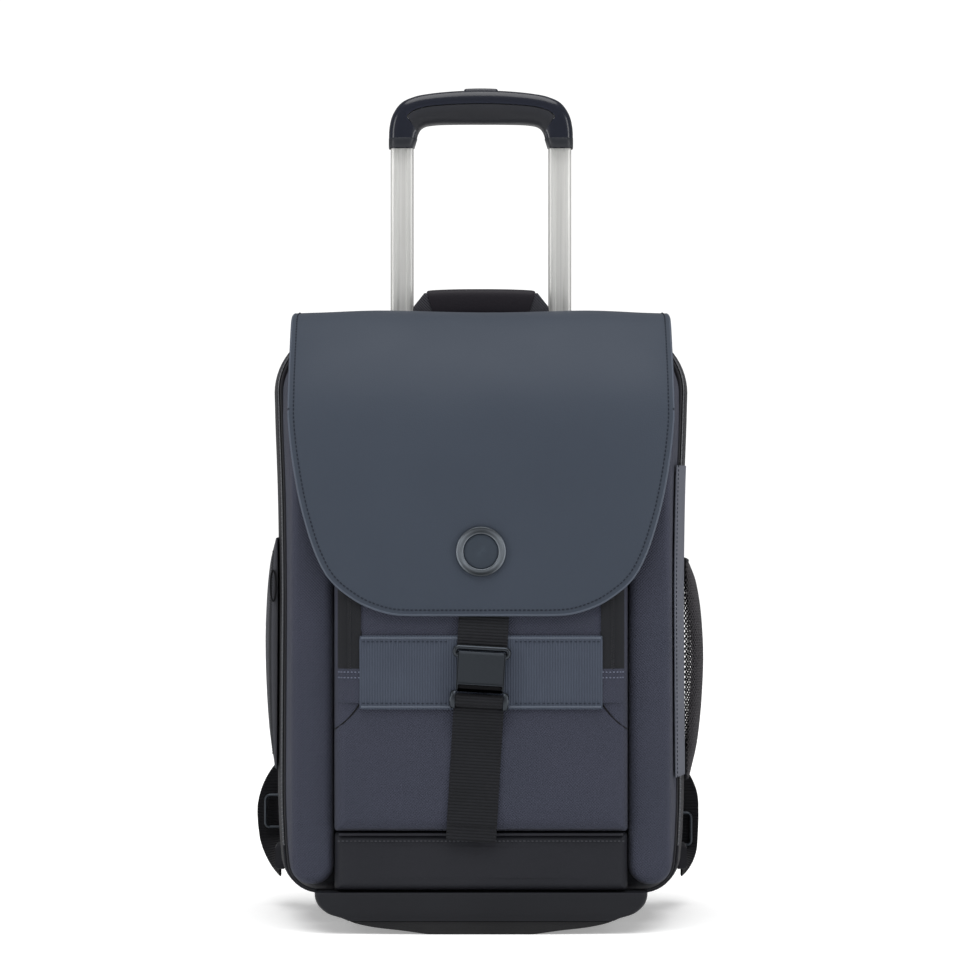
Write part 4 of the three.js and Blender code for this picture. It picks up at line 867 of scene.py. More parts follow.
def panel_outline(edges, radii, inset, side=22):
    """Outline in XZ with a radius at each corner: lower right, upper right, upper left, lower left."""
    x0, x1, z0, z1 = edges[0] + inset, edges[1] - inset, edges[2] + inset, edges[3] - inset
    middle = (x0 + x1) / 2
    lower_right, upper_right, upper_left, lower_left = (max(r - inset, 0.0005) for r in radii)

    def half(x, low, high, sign):
        points = [(middle + (x - sign * low - middle) * t, z0) for t in (0.01, 0.3, 0.6, 0.85)]
        points += arc(x - sign * low, z0 + low, low, -90, 0 if sign > 0 else -180, 9)
        points += [(x, z) for z in np.linspace(z0 + low, z1 - high, side)[1:-1]]
        points += arc(x - sign * high, z1 - high, high, 0 if sign > 0 else 180, 90, 9)
        return points + [(middle + (x - sign * high - middle) * t, z1) for t in (0.85, 0.6, 0.3, 0.01)]

    return np.array(half(x1, lower_right, upper_right, 1) + half(x0, lower_left, upper_left, -1)[::-1])


def pad_of(edges, radii, back, depth, edge_round=PANEL_ROUND, soft=0.0, seed=0.0):
    """A pad against y = back that swells towards -Y, or towards +Y where depth is negative."""
    rings = []
    limit = min(edges[1] - edges[0], edges[3] - edges[2]) / 2 - 0.0003
    for rise, inset, _ in spline([(r, i, 0) for r, i in PAD_PROFILE], 14):
        outline = panel_outline(edges, radii, min(max(inset, 0) * edge_round, limit))
        ring = np.stack([outline[:, 0], np.full(len(outline), back - depth * min(rise, 1)), outline[:, 1]],
                        axis=1)
        ring[:, 1] += np.sign(depth) * max(0, rise) * np.abs(ripple(ring, 0.05, soft, seed))
        rings.append(ring)
    return loft_of(rings)


# %% [markdown]
# Two tall navy columns frame the pocket. Their lower ends are round tongues.

# %% Side columns
for name, sign in (("left", -1), ("right", 1)):
    low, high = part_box(f"side_column_{name}")
    width = high.x - low.x
    big, small = width * 0.47, width * 0.2
    radii = (big, small, small, big)
    edges = (low.x, high.x, low.z, high.z)
    column = piece(f"column_{name}", pad_of(edges, radii, high.y, high.y - low.y, 0.006, 0.0012, sign),
                   NAVY, f"side_column_{name}")

# %% Bottom panel
low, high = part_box("bottom_panel")
bottom = piece("bottom_cloth", pad_of((low.x, high.x, low.z, high.z), (0.004,) * 4, high.y, high.y - low.y,
                                      (high.z - low.z) / 8, 0.001, 3), BASE, "bottom_panel")
seam_x = np.linspace(low.x + 0.004, high.x - 0.004, 40)
welt = [(x, low.y + 0.0005, high.z - 0.0015) for x in seam_x]
piece("bottom_welt", tube_of(welt, 0.0011, (0, 1, 0), 8), BASE)
row = [(x, low.y - 0.0001, high.z - 0.0068) for x in seam_x]
piece("bottom_stitches", stitches_of(row, (0, -1, 0), 0.0032, 0.002, 0.0005), GREY_THREAD)

# %% [markdown]
# The front pocket is a hollow pouch of navy nylon, open at its top under the flap.

# %% Front pocket
pocket_low, pocket_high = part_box("front_pocket")
pocket_front, pocket_depth = pocket_low.y, pocket_high.y - pocket_low.y
POCKET_WALL = 0.002
pocket_edges = (pocket_low.x, pocket_high.x, pocket_low.z, pocket_high.z)
pouch = mesh_object("pouch", pad_of(pocket_edges, (0.003,) * 4, pocket_high.y, pocket_depth, soft=0.0))
room = (pocket_low.x + POCKET_WALL, pocket_high.x - POCKET_WALL, pocket_low.z + POCKET_WALL,
        pocket_high.z + 0.2)
pouch = carved(pouch, [mesh_object("cutter", pad_of(room, (0.003,) * 4, pocket_high.y - POCKET_WALL,
                                                    pocket_depth - 2 * POCKET_WALL))])
pouch.name = "pocket_pouch"
piece("pocket_pouch", pouch, NAVY, "front_pocket")


def pocket_y(x):
    """Depth of the pocket's face at x, with its rounded edge."""
    inset = (pocket_high.x - abs(x)) / PANEL_ROUND
    rise = np.interp(inset, [i for _, i in PAD_PROFILE[1:]], [r for r, _ in PAD_PROFILE[1:]])
    return pocket_high.y - pocket_depth * rise


def on_pocket(points, stand):
    return np.array([(x, pocket_y(x) - stand, z) for x, z in points])


# %% Pocket zips, tabs and seams
SEAM_FOOT, SEAM_OUT = 0.1625, 0.1165
for name, sign in (("left", -1), ("right", 1)):
    low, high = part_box(f"zip_tape_{name}")
    x0, x1 = (low.x, high.x) if sign > 0 else (high.x, low.x)
    columns = np.linspace(x0, x1, 14)
    rows = np.linspace(low.z, high.z, 40)
    tape = np.array([on_pocket([(x, z) for x in columns], 0.0013) for z in rows])
    piece(f"pocket_zip_{name}", sheet_of(tape, 0.001, (0, -1, 0)), TAPE, f"zip_tape_{name}")
    middle = x0 + (x1 - x0) * 0.48
    line = even(on_pocket([(middle, low.z + 0.001), (middle, high.z)], 0.0014), 60)
    coil = teeth_of(line, np.tile((0, -1.0, 0), (60, 1)), (1, 0, 0), 0.0019, 0.0015, 0.0005)
    piece(f"pocket_zip_coil_{name}", coil, POCKET_COIL)
    low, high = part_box(f"pocket_tab_{name}")
    tab = np.array([on_pocket([(x, z) for x in columns], 0.0016) for z in np.linspace(low.z, high.z, 20)])
    piece(f"zip_tab_{name}", sheet_of(tab, 0.0012, (0, -1, 0)), NAVY, f"pocket_tab_{name}")
    for n, drop in enumerate((0.0022, 0.0066)):
        rows = on_pocket([(x, high.z - drop) for x in np.linspace(x0 + sign * 0.001, x1 - sign * 0.001, 12)],
                         0.0018)
        piece(f"bartack_{name}_{n + 1}", stitches_of(rows, (0, -1, 0), 0.0024, 0.0016, 0.0006), THREAD)
    inner = x0 - sign * 0.0004
    curve = spline([(inner, 0, high.z + 0.03), (inner, 0, 0.186), (inner + sign * 0.003, 0, 0.1805),
                    (inner + sign * 0.011, 0, 0.171), (sign * SEAM_OUT, 0, SEAM_FOOT)], 60)
    seam = on_pocket([(x, z) for x, _, z in curve], 0.0002)
    piece(f"pocket_seam_{name}", tube_of(seam, 0.0006, (0, 1, 0), 6), DARK_SEAM_AND_SHADE)

# %% [markdown]
# A ribbed band crosses the pocket. Its cut edges are turned over and sewn down, which leaves a light
# raised line with a row of stitches beside it.

# %% Pocket band
low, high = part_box("pocket_band")
band_rows = np.linspace(low.z, high.z, 20)
band_columns = np.linspace(low.x, high.x, 70)
band = np.array([[(x, low.y + 0.0002, z) for x in band_columns] for z in band_rows])
band[..., 1] += np.abs(ripple(band, 0.06, 0.0008, 5))
piece("pocket_band_cloth", sheet_of(band, 0.0028, (0, -1, 0)), BAND, "pocket_band")
for label, z, step in (("top", high.z, -1), ("foot", low.z, 1)):
    edge = [(x, low.y + 0.0009, z + step * 0.0008) for x in band_columns]
    piece(f"band_edge_{label}", tube_of(edge, 0.0011, (0, 1, 0), 8), EDGING)
    for side in (-1, 1):
        x_in, x_out = side * 0.028, side * (high.x - 0.002)
        row = [(x, low.y - 0.0001, z + step * 0.0036) for x in np.linspace(x_in, x_out, 40)]
        label_side = "right" if side > 0 else "left"
        piece(f"band_stitches_{label}_{label_side}", stitches_of(row, (0, -1, 0)), SLATE_THREAD)

# %% [markdown]
# The flap is one sheet of coated cloth. It is sewn to the top of the bag behind the mouth, rolls over
# the ridge and hangs down the front. It is drawn flat first, in its width and the length along its
# profile, so that the stitches and edging follow the hem at an even distance.

# %% Flap surface
flap_low, flap_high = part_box("flap")
FLAP_THICKNESS, FLAP_STAND, FLAP_RISE = 0.0025, 0.0042, 0.008
FLAP_SIDE_DROP = 0.009
# The hem: how far it has risen, in metres, at shares of the half width
FLAP_HEM = [(0.36, 0), (0.45, 0.0008), (0.54, 0.0042), (0.655, 0.0125), (0.79, 0.0305), (0.856, 0.05),
            (0.9, 0.07), (0.94, 0.0935), (0.975, 0.124), (0.992, 0.145), (1.0, 0.16)]
flap_half, flap_root, flap_hem = flap_high.x, flap_high.y, flap_low.z


def flap_lean(share):
    face = pocket_front - FLAP_STAND
    return face + (body_front + TOP_LEAN - face) * share


ridge = body_top + FLAP_THICKNESS + FLAP_RISE
hem_drop = body_top - flap_hem
flap_face = pocket_front - FLAP_STAND
flap_line = spline([
    (0, flap_root, body_top + 0.0003 + FLAP_THICKNESS), (0, flap_root * 0.5, ridge - FLAP_RISE * 0.25),
    (0, -flap_root * 0.05, ridge), (0, flap_lean(0.96), ridge - FLAP_RISE * 0.45),
    (0, flap_lean(0.55), body_top - hem_drop * 0.075), (0, flap_lean(0.2), body_top - hem_drop * 0.24),
    (0, flap_lean(0.045), body_top - hem_drop * 0.44), (0, flap_face, body_top - hem_drop * 0.65),
    (0, flap_face - 0.0016, body_top - hem_drop * 0.85), (0, flap_face - 0.0018, flap_hem)], 501, 1.0)
flap_length = np.linalg.norm(np.diff(flap_line, axis=0), axis=1).sum()
flap_tangent = unit(np.gradient(flap_line, axis=0))
shares = np.linspace(0, 1, len(flap_line))
print(f"flap: {2 * flap_half:.3f} m wide, {flap_length:.3f} m long")


def flap_share_at(z):
    front = shares > 0.35
    return np.interp(z, flap_line[front, 2][::-1], shares[front][::-1])


hem_line = spline([(a, u, 0) for a, u in FLAP_HEM], 200)


def flap_hem_at(x):
    return flap_hem + np.interp(np.abs(x) / flap_half, hem_line[:, 0], hem_line[:, 1], left=0)


def flap_surface(x, share, depth=0.0):
    """A point of the flap: x across, share of its length from the root, depth under its face."""
    centre = np.array([np.interp(share, shares, flap_line[:, k]) for k in range(3)])
    tangent = np.array([np.interp(share, shares, flap_tangent[:, k]) for k in range(3)])
    inward = np.array([np.zeros_like(tangent[2]), -tangent[2], tangent[1]])
    across = x / flap_half
    drop = FLAP_SIDE_DROP * np.abs(across) ** 6 * np.clip(share * 5 - 0.85, 0.12, 1)
    near = np.clip(1 - np.abs(share - 0.3) / 0.25, 0, 1)
    puff = 0.0011 * np.exp(-((np.abs(x) - 0.085) / 0.035) ** 2) * near
    point = centre + inward * (drop + depth - puff)
    point[0] = x * (1 - 0.025 * np.maximum(0, 1 - share * 4))
    return np.moveaxis(point, 0, -1)


# %% Flap cloth
u = np.sin(np.linspace(-math.pi / 2, math.pi / 2, 101))
v = np.linspace(0, 1, 141)
flap_x = np.tile(u * flap_half, (len(v), 1))
flap_share = v[:, None] * flap_share_at(flap_hem_at(u * flap_half))[None, :]
flap_grid = flap_surface(flap_x, flap_share)
flap_normal = facing(flap_grid, (0, -1, 0.5))
fade = np.clip((1 - np.abs(u)) * 6, 0, 1)[None, :] * np.clip((1 - v) * 8, 0, 1)[:, None]
flap_grid += flap_normal * (ripple(flap_grid, 0.11, 0.0011, 2) * fade)[..., None]
flap = piece("flap_cloth", sheet_of(flap_grid, FLAP_THICKNESS, (0, -1, 0.5), rim=5), HIDE,
             "flap")


def flap_border(inset):
    """The flap's border drawn flat, pulled in by inset: x and share of the length."""
    hem_x = flap_half * np.sin(np.linspace(-math.pi / 2, math.pi / 2, 200))
    hem_s = flap_share_at(flap_hem_at(hem_x)) * flap_length
    side = np.linspace(0.012, hem_s[0], 80)[:-1]
    line = np.vstack([np.stack([np.full(79, -flap_half), side], axis=1), np.stack([hem_x, hem_s], axis=1),
                      np.stack([np.full(79, flap_half), side[::-1]], axis=1)])
    line = even(line, 420)
    along = unit(np.gradient(line, axis=0))
    line = line + np.stack([along[:, 1], -along[:, 0]], axis=1) * inset
    return line[:, 0], line[:, 1] / flap_length


border_x, border_share = flap_border(0.0)
edge_line = flap_surface(border_x, border_share, FLAP_THICKNESS / 2)
edging = piece("flap_edging", tube_of(edge_line, 0.00132, (0.0, 0.3, 0.95), 10), EDGING)
border_x, border_share = flap_border(0.0036)
stitch_line = flap_surface(border_x, border_share, -0.0001)
stitch_out = stitch_line - flap_surface(border_x, border_share, 0.004)
flap_stitches = piece("flap_stitches", stitches_of(stitch_line, stitch_out, 0.0034, 0.0023, 0.0006),
                      SLATE_THREAD)

# %% [markdown]
# A round metal ring sits on the flap. Its middle and its face stay plain.

# %% Badge
ring_low, ring_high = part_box("badge_ring")
inset_low, inset_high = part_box("badge_inset")
badge_centre = ((ring_low.x + ring_high.x) / 2, 0, (ring_low.z + ring_high.z) / 2)
outer, inner = (ring_high.x - ring_low.x) / 2, 0.0139
back, face = ring_high.y, ring_low.y
outer_bevel, inner_bevel = 0.0013, 0.0009
ring_profile = [(inner, back), (outer, back)]
ring_profile += [(outer - outer_bevel + outer_bevel * math.cos(a),
                  face + outer_bevel - outer_bevel * math.sin(a))
                 for a in np.linspace(0, 1.57, 5)]
ring_profile += [(outer - 0.0022, face + 0.0003), (inner + 0.0018, face + 0.0003)]
ring_profile += [(inner + inner_bevel - inner_bevel * math.sin(a),
                  face + inner_bevel - inner_bevel * math.cos(a))
                 for a in np.linspace(0, 1.57, 4)]
piece("badge_ring_metal", lathe_of(ring_profile, badge_centre, 1, 96), BADGE, "badge_ring",
      sharp=50)
disc_profile = [(0.0001, inset_high.y), (0.0136, inset_high.y), (0.0136, inset_low.y + 0.0004),
                (0.0128, inset_low.y), (0.006, inset_low.y - 0.0002), (0.0001, inset_low.y - 0.0002)]
piece("badge_middle", lathe_of(disc_profile, badge_centre, 1, 64), BADGE_FACE, "badge_inset",
      sharp=50)

# %% [markdown]
# The closure strap hangs a few degrees off upright. Its pieces are made upright about the strap's own
# middle line and then turned together about one point.

# %% Closure strap
STRAP_TILT, STRAP_PIVOT = math.radians(3.3), 0.213
STRAP_HALF, STRAP_THICK = 0.019, 0.0018
band_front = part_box("pocket_band")[0].y
band_foot_z, band_top_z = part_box("pocket_band")[0].z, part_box("pocket_band")[1].z
strap_face = band_front - 0.0003
under_face = pocket_front - 0.0006


def tilted(points):
    """Points of the strap, turned by its tilt about the pivot."""
    p = np.array(points, float)
    x, z = p[..., 0].copy(), p[..., 2] - STRAP_PIVOT
    p[..., 0] = x * math.cos(STRAP_TILT) + z * math.sin(STRAP_TILT)
    p[..., 2] = STRAP_PIVOT - x * math.sin(STRAP_TILT) + z * math.cos(STRAP_TILT)
    return p


def tilted_mesh(parts):
    return tilted(parts[0]), parts[1]


def hanging_web(route, count, half=STRAP_HALF):
    """Webbing in front of the bag, down a route in the plane x = 0."""
    line = spline([(0, y, z) for y, z in route], count)
    return np.array([[(x, p[1], p[2]) for x in np.linspace(-half, half, 14)] for p in line])


ring_top, ring_z = 0.2295, 0.2248
upper = hanging_web([(under_face - STRAP_THICK, flap_hem + 0.022),
                     (under_face - STRAP_THICK, flap_hem - 0.001),
                     (strap_face - STRAP_THICK, band_top_z + 0.003), (strap_face - STRAP_THICK, ring_top)],
                    50)
piece("strap_upper_web", tilted_mesh(sheet_of(upper, STRAP_THICK, (0, -1, 0))), WEBBING,
      "closure_strap_upper")
roll_foot = 0.1806
lower = hanging_web([(strap_face - STRAP_THICK, roll_foot), (strap_face - STRAP_THICK, band_foot_z - 0.006),
                     (under_face - STRAP_THICK, band_foot_z - 0.024), (under_face - STRAP_THICK, 0.118),
                     (under_face - STRAP_THICK, 0.0904), (under_face - STRAP_THICK + 0.001, 0.0752)], 90)
piece("strap_lower_web", tilted_mesh(sheet_of(lower, STRAP_THICK, (0, -1, 0))), WEBBING,
      "closure_strap_lower")
anchor = tilted([(x, under_face - STRAP_THICK - 0.0001, 0.0868) for x in np.linspace(-0.018, 0.018, 14)])
piece("strap_anchor_stitches", stitches_of(anchor, (0, -1, 0), 0.0024, 0.0016, 0.0005), BLACK_THREAD)


# %% Closure ring and buckle
def rounded_loop(half_x, half_z, radius, y, z, count=8):
    """A rounded rectangle of points in XZ, for bent wire."""
    points = []
    for sx, sz, start in ((1, -1, -90), (1, 1, 0), (-1, 1, 90), (-1, -1, 180)):
        centre_x, centre_z = sx * (half_x - radius), z + sz * (half_z - radius)
        points += arc(centre_x, centre_z, radius, start, start + 90, count)
    return [(x, y, zz) for x, zz in points]


ring_wire, ring_half, ring_rise, ring_round, ring_y = 0.0021, 0.0233, 0.0053, 0.0032, -0.126
loop = rounded_loop(ring_half - ring_wire, ring_rise - ring_wire, ring_round, ring_y, ring_z)
piece("closure_ring_metal", tilted_mesh(tube_of(loop, ring_wire, (0, 1, 0), 12, closed=True)), BUCKLE,
      "closure_ring", sharp=60)


def slab_of(x0, x1, z0, z1, front, back, bevel, dish=0.0):
    """A plate with bevelled front edges: rings from its back to its face."""
    rings = []
    for inset, y in ((0, back), (0, front + bevel), (bevel * 0.3, front + bevel * 0.3), (bevel, front),
                     (bevel * 3, front + dish)):
        outline = panel_outline((x0, x1, z0, z1), (0.0012,) * 4, inset, 8)
        rings.append([(x, y, z) for x, z in outline])
    return loft_of(rings)


plate_top, plate_foot, plate_front = 0.2252, 0.1936, -0.1296
plate_half, side_bar_x, foot_bar = 0.019, 0.0176, 0.0016
gap_z, plate_back = plate_foot + 0.0052, plate_front + 0.0023
plate = [slab_of(-plate_half, plate_half, gap_z, plate_top, plate_front, plate_back, 0.0006, 0.0002),
         slab_of(-plate_half, plate_half, plate_foot, plate_foot + foot_bar, plate_front, plate_back, 0.0005)]
for side in (-1, 1):
    x0, x1 = sorted((side * plate_half, side * side_bar_x))
    plate.append(slab_of(x0, x1, plate_foot, plate_top, plate_front - 0.0001, plate_back, 0.0003))
piece("buckle_plate_metal", tilted_mesh(merged(plate)), BUCKLE, "buckle_plate", sharp=30)
# Painted shadow: a dark sheet set back in the buckle's slot stands in for the shade in the opening.
slot_shade_sheet = slab_of(-side_bar_x, side_bar_x, plate_foot + foot_bar, gap_z, plate_front + 0.0014, plate_back,
                    0.0002)
piece("buckle_slot_shade", tilted_mesh(slot_shade_sheet), DARK_SEAM_AND_SHADE)
roll_z, roll_y, roll_round = 0.1864, -0.1251, 0.0034
angle = np.linspace(0, 2 * math.pi, 28, endpoint=False)
roll_rings = [[(x, roll_y + roll_round * s * math.cos(a), roll_z + 1.55 * roll_round * s * math.sin(a))
               for a in angle] for x, s in ((-0.0188, 0.82), (-0.0182, 1), (0.0182, 1), (0.0188, 0.82))]
piece("buckle_roll_web", tilted_mesh(loft_of(roll_rings, ladder=False)), WEBBING, "buckle_roll",
      sharp=60)
ears = []
for side in (-1, 1):
    outer_x, inner_x = side * 0.0234, side * 0.0192
    ear = [[(x, roll_y + 0.0008 + 0.0034 * s * math.cos(a), roll_z + 0.0076 * s * math.sin(a))
            for a in angle] for x, s in ((inner_x, 0.95), (inner_x, 1), (side * 0.0222, 0.9),
                                         (outer_x, 0.62))]
    ears.append(loft_of(ear, ladder=False))
piece("buckle_ears", tilted_mesh(merged(ears)), BUCKLE, sharp=50)

# %% [markdown]
# On the right a strip of cloth covers the middle of the zip. On the left sits a flat pocket closed by a
# zip, and on the right a net pocket for a bottle. Both bulge from one plan curve that swells with height.

# %% Storm flap
low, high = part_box("storm_flap")
STORM_WIDTH, STORM_LEAN = 0.035, 0.26
storm_mid = (low.y + high.y) / 2
storm_out = low.x + STORM_WIDTH / 2 * math.sin(math.atan(STORM_LEAN)) - body_half_at(low.z) + 0.0016
storm = np.array([[(body_half_at(z) + storm_out + t * STORM_WIDTH / 2 * math.sin(math.atan(STORM_LEAN)),
                    storm_mid + t * STORM_WIDTH / 2 * math.cos(math.atan(STORM_LEAN)), z)
                   for t in np.linspace(-1, 1, 12)] for z in np.linspace(low.z, high.z, 70)])
storm_cloth = piece("storm_cloth", sheet_of(storm, 0.0014, (1, 0, 0)), STORM, "storm_flap")
row = storm[:, 1] + (0.0003, 0, 0)
piece("storm_stitches", stitches_of(row, (1, -0.2, 0)), SLATE_THREAD)

# %% Side pockets
SWELL = [(0, 0.16), (0.04, 0.3), (0.17, 0.66), (0.36, 0.9), (0.56, 1), (0.74, 0.9), (0.88, 0.66),
         (0.96, 0.34), (1, 0.1)]
swell_line = spline([(h, w, 0) for h, w in SWELL], 60)
mesh_low, mesh_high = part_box("mesh_pocket")
zip_low, zip_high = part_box("zip_pocket")
pocket_mid, pocket_reach = (mesh_low.y + mesh_high.y) / 2, (mesh_high.y - mesh_low.y) / 2


def side_point(sign, low, high, bulge, around, up):
    """A point of a side pocket: around from front to back and up, each 0 to 1."""
    z = low.z + (high.z - low.z) * up
    angle = math.pi * (1 - around)
    out = bulge * np.interp(up, swell_line[:, 0], swell_line[:, 1])
    swell = out * np.abs(np.sin(angle)) ** 0.7
    return np.stack([sign * (body_half_at(z) + 0.0004 + swell), pocket_mid + pocket_reach * np.cos(angle),
                     z + 0 * swell], axis=-1)


CELL_ACROSS, CELL_UP = 0.0052, 0.0042
columns, rows = int(0.118 / CELL_ACROSS), int((mesh_high.z - mesh_low.z) / CELL_UP) * 2
knots, diamonds = [], []
for j in range(rows + 1):
    for i in range(columns + 1):
        around = min(1, (i + 0.5 * (j % 2)) / columns)
        knots.append(side_point(1, mesh_low, mesh_high, 0.016, around, j / rows))
for j in range(rows - 1):
    for i in range(columns):
        shift = j % 2
        left, right = j * 1, i + shift
        a = j * (columns + 1) + i
        below, above = (columns + 1) * (j + 1) + i + shift - 1, (columns + 1) * (j + 1) + i + shift
        if 0 <= i + shift - 1 and i + shift <= columns:
            diamonds.append((a, above, (columns + 1) * (j + 2) + i, below))
net = mesh_object("net", (np.array(knots), diamonds))
strands = net.modifiers.new("strands", "WIREFRAME")
strands.thickness = 0.0018
strands.use_even_offset = False
settled(net)
net.name = "bottle_net"
net = piece("bottle_net", net, NET, "mesh_pocket")
grid = np.array([[side_point(1, mesh_low, mesh_high, 0.0157, a, b) for a in np.linspace(0, 1, 40)]
                 for b in np.linspace(0, 0.13, 8)])
piece("bottle_net_base", sheet_of(grid, 0.0008, (1, 0, 0)), BLACK)
rim = [side_point(1, mesh_low, mesh_high, 0.0163, a, 0.992) for a in np.linspace(0, 1, 60)]
net_hem = piece("bottle_net_hem", tube_of(rim, 0.0018, (0, 0, 1), 10), BLACK)
grid = np.array([[side_point(-1, zip_low, zip_high, 0.0112, a, b) for a in np.linspace(0, 1, 44)]
                 for b in np.linspace(0, 1, 60)])
side_pocket = piece("side_pocket_cloth", sheet_of(grid, 0.0016, (-1, 0, 0)), SIDE_CLOTH,
                    "zip_pocket")
line = np.array([side_point(-1, zip_low, zip_high, 0.0114, 0.12, b) for b in np.linspace(0.06, 0.94, 60)])
out = unit(np.tile((-0.8, -0.6, 0), (60, 1)))
small_teeth = teeth_of(line, out, (-0.6, 0.8, 0), 0.0022, 0.0018, 0.0005)
side_zip = piece("side_pocket_zip", small_teeth, POCKET_COIL)

# %% Cord pull
low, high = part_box("pocket_zip_puller")
pull_x, pull_y = (low.x + high.x) / 2, (low.y + high.y) / 2
pull = [(pull_x + 0.0022 * math.sin(a), pull_y, (low.z + high.z) / 2 + 0.0125 * math.cos(a))
        for a in np.linspace(0, 2 * math.pi, 40, endpoint=False)]
piece("cord_pull", tube_of(pull, 0.0008, (0, 1, 0), 8, closed=True), BLACK_THREAD,
      "pocket_zip_puller")

# %% [markdown]
# The carry handle is a padded wrap round webbing. Its ends are cut on a slant, and the webbing spreads
# from them down to the seam.

# %% Carry handle
low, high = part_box("carry_handle_pad")
carry_y, carry_z = (low.y + high.y) / 2, (low.z + high.z) / 2
half_x, half_y, half_z = high.x, (high.y - low.y) / 2, (high.z - low.z) / 2
angle = np.linspace(0, 2 * math.pi, 40, endpoint=False)
section_y = half_y * np.sign(np.cos(angle)) * np.abs(np.cos(angle)) ** 0.7
section_z = half_z * np.sign(np.sin(angle)) * np.abs(np.sin(angle)) ** 0.55
rings = []
for t in spline([(-1, 0.86, 0), (-0.985, 0.97, 0), (-0.95, 1, 0), (0, 1, 0), (0.95, 1, 0), (0.985, 0.97, 0),
                 (1, 0.86, 0)], 60):
    slant = 0.0032 * section_z / half_z * np.sign(t[0]) * min(1, abs(t[0]) ** 8)
    rings.append(np.stack([t[0] * (half_x - 0.0034) + slant, carry_y + section_y * t[1],
                           carry_z + section_z * t[1] - 0.0012 * t[0] ** 2], axis=1))
carry_pad = piece("carry_wrap", loft_of(rings, ladder=False), WRAP, "carry_handle_pad",
                  sharp=50)
for name, sign in (("left", -1), ("right", 1)):
    foot_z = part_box(f"carry_web_{name}")[0].z
    rings = []
    for t in np.linspace(0, 1, 14):
        z = foot_z + (carry_z + half_z * 0.7 - foot_z) * t
        x0, x1 = 0.037 + 0.003 * t, 0.0572 - 0.0095 * max(0, t - 0.6) / 0.4
        y0, y1 = carry_y - 0.0058 + 0.001 * t, carry_y + 0.0052
        rings.append([(sign * x, y, z) for x, y in ((x0, y0), (x1 - 0.001, y0), (x1, y0 + 0.001), (x1, y1),
                                                    (x0, y1))])
    piece(f"carry_webbing_{name}", loft_of(rings, ladder=False), TWILL, f"carry_web_{name}",
          sharp=60)

# %% [markdown]
# The trolley handle has two stages of tube on each side. Every tube is hollow; the two stages have a shallow
# groove down their front and back, and each slides inside the one below it.


# %% Tubes
def rounded_ring(half_x, half_y, radius, groove_half=0.0, groove_depth=0.0):
    """Rounded rectangle in XY with a groove down the middle of its front and back."""
    def side(sign):
        y = sign * half_y
        run = [(x, y) for x in np.linspace(-half_x + radius, -groove_half - 0.0007, 5)]
        run += [(-groove_half, y - sign * groove_depth), (0, y - sign * groove_depth),
                (groove_half, y - sign * groove_depth)]
        return run + [(x, y) for x in np.linspace(groove_half + 0.0007, half_x - radius, 5)]

    right = arc(half_x - radius, -half_y + radius, radius, -90, 0, 9) + arc(half_x - radius, half_y - radius,
                                                                            radius, 0, 90, 9)
    left = [(-x, -y) for x, y in right]
    return np.array(side(-1) + right + side(1)[::-1] + left)


def pipe_of(outer, inner, centre, z0, z1, bevel=0.0004):
    """A hollow tube between an outer and an inner outline of equal count."""
    shrink = 1 - bevel / np.abs(outer).max()
    rings = [(outer * shrink, z0), (outer, z0 + bevel), (outer, z1 - bevel), (outer * shrink, z1),
             (inner, z1), (inner, z0)]
    rings = [np.column_stack([o[:, 0] + centre[0], o[:, 1] + centre[1], np.full(len(o), z)]) for o,
             z in rings]
    rows, count = len(rings), len(outer)
    faces = grid_faces(rows, count, wrap=True)
    last = (rows - 1) * count
    faces += [(last + i, last + (i + 1) % count, (i + 1) % count, i) for i in range(count)]
    return np.vstack(rings), faces


TUBE_WALL = 0.001
for name in ("left", "right"):
    for stage, body, groove in (("upper", "handle_upper", 0.0006), ("lower", "handle_lower", 0.0005),
                                ("outer", "bag", 0)):
        low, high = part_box(f"tube_{stage}_{name}")
        centre = ((low.x + high.x) / 2, (low.y + high.y) / 2)
        half_x, half_y = (high.x - low.x) / 2, (high.y - low.y) / 2
        outer = rounded_ring(half_x, half_y, 0.0036, 0.0031, groove)
        inner = rounded_ring(half_x - TUBE_WALL, half_y - TUBE_WALL, 0.0026, 0.0031, 0)
        piece(f"trolley_{stage}_{name}", pipe_of(outer, inner, centre, low.z, high.z), TUBE,
              f"tube_{stage}_{name}", body, sharp=25)
    low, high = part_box(f"tube_collar_{name}")
    lower_low, lower_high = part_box(f"tube_lower_{name}")
    half_x, half_y = (high.x - low.x) / 2, (high.y - low.y) / 2
    hole_x, hole_y = (lower_high.x - lower_low.x) / 2 + 0.0005, (lower_high.y - lower_low.y) / 2 + 0.0005
    collar = pipe_of(rounded_ring(half_x, half_y, 0.005), rounded_ring(hole_x, hole_y, 0.0036), centre,
                     low.z, high.z, 0.0012)
    piece(f"trolley_collar_{name}", collar, MATTE, f"tube_collar_{name}", sharp=30)
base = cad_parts["trolley_base"]
for place in base.material_slots:
    place.material = MATTE

# %% [markdown]
# The grip is a moulded arch. A glossy shell wraps its top and its legs, and a matte lower half fills the
# underside of the bar, with a shallow finger recess at the front.

# %% Grip outline
grip_low, grip_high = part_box("grip")
insert_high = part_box("grip_insert")[1]
grip_half, grip_foot, grip_rise = grip_high.x, grip_low.z, grip_high.z - grip_low.z
LEG_TAPER = 0.0033
leg_inner, under_z = grip_half - 0.0246, insert_high.z - 0.0057
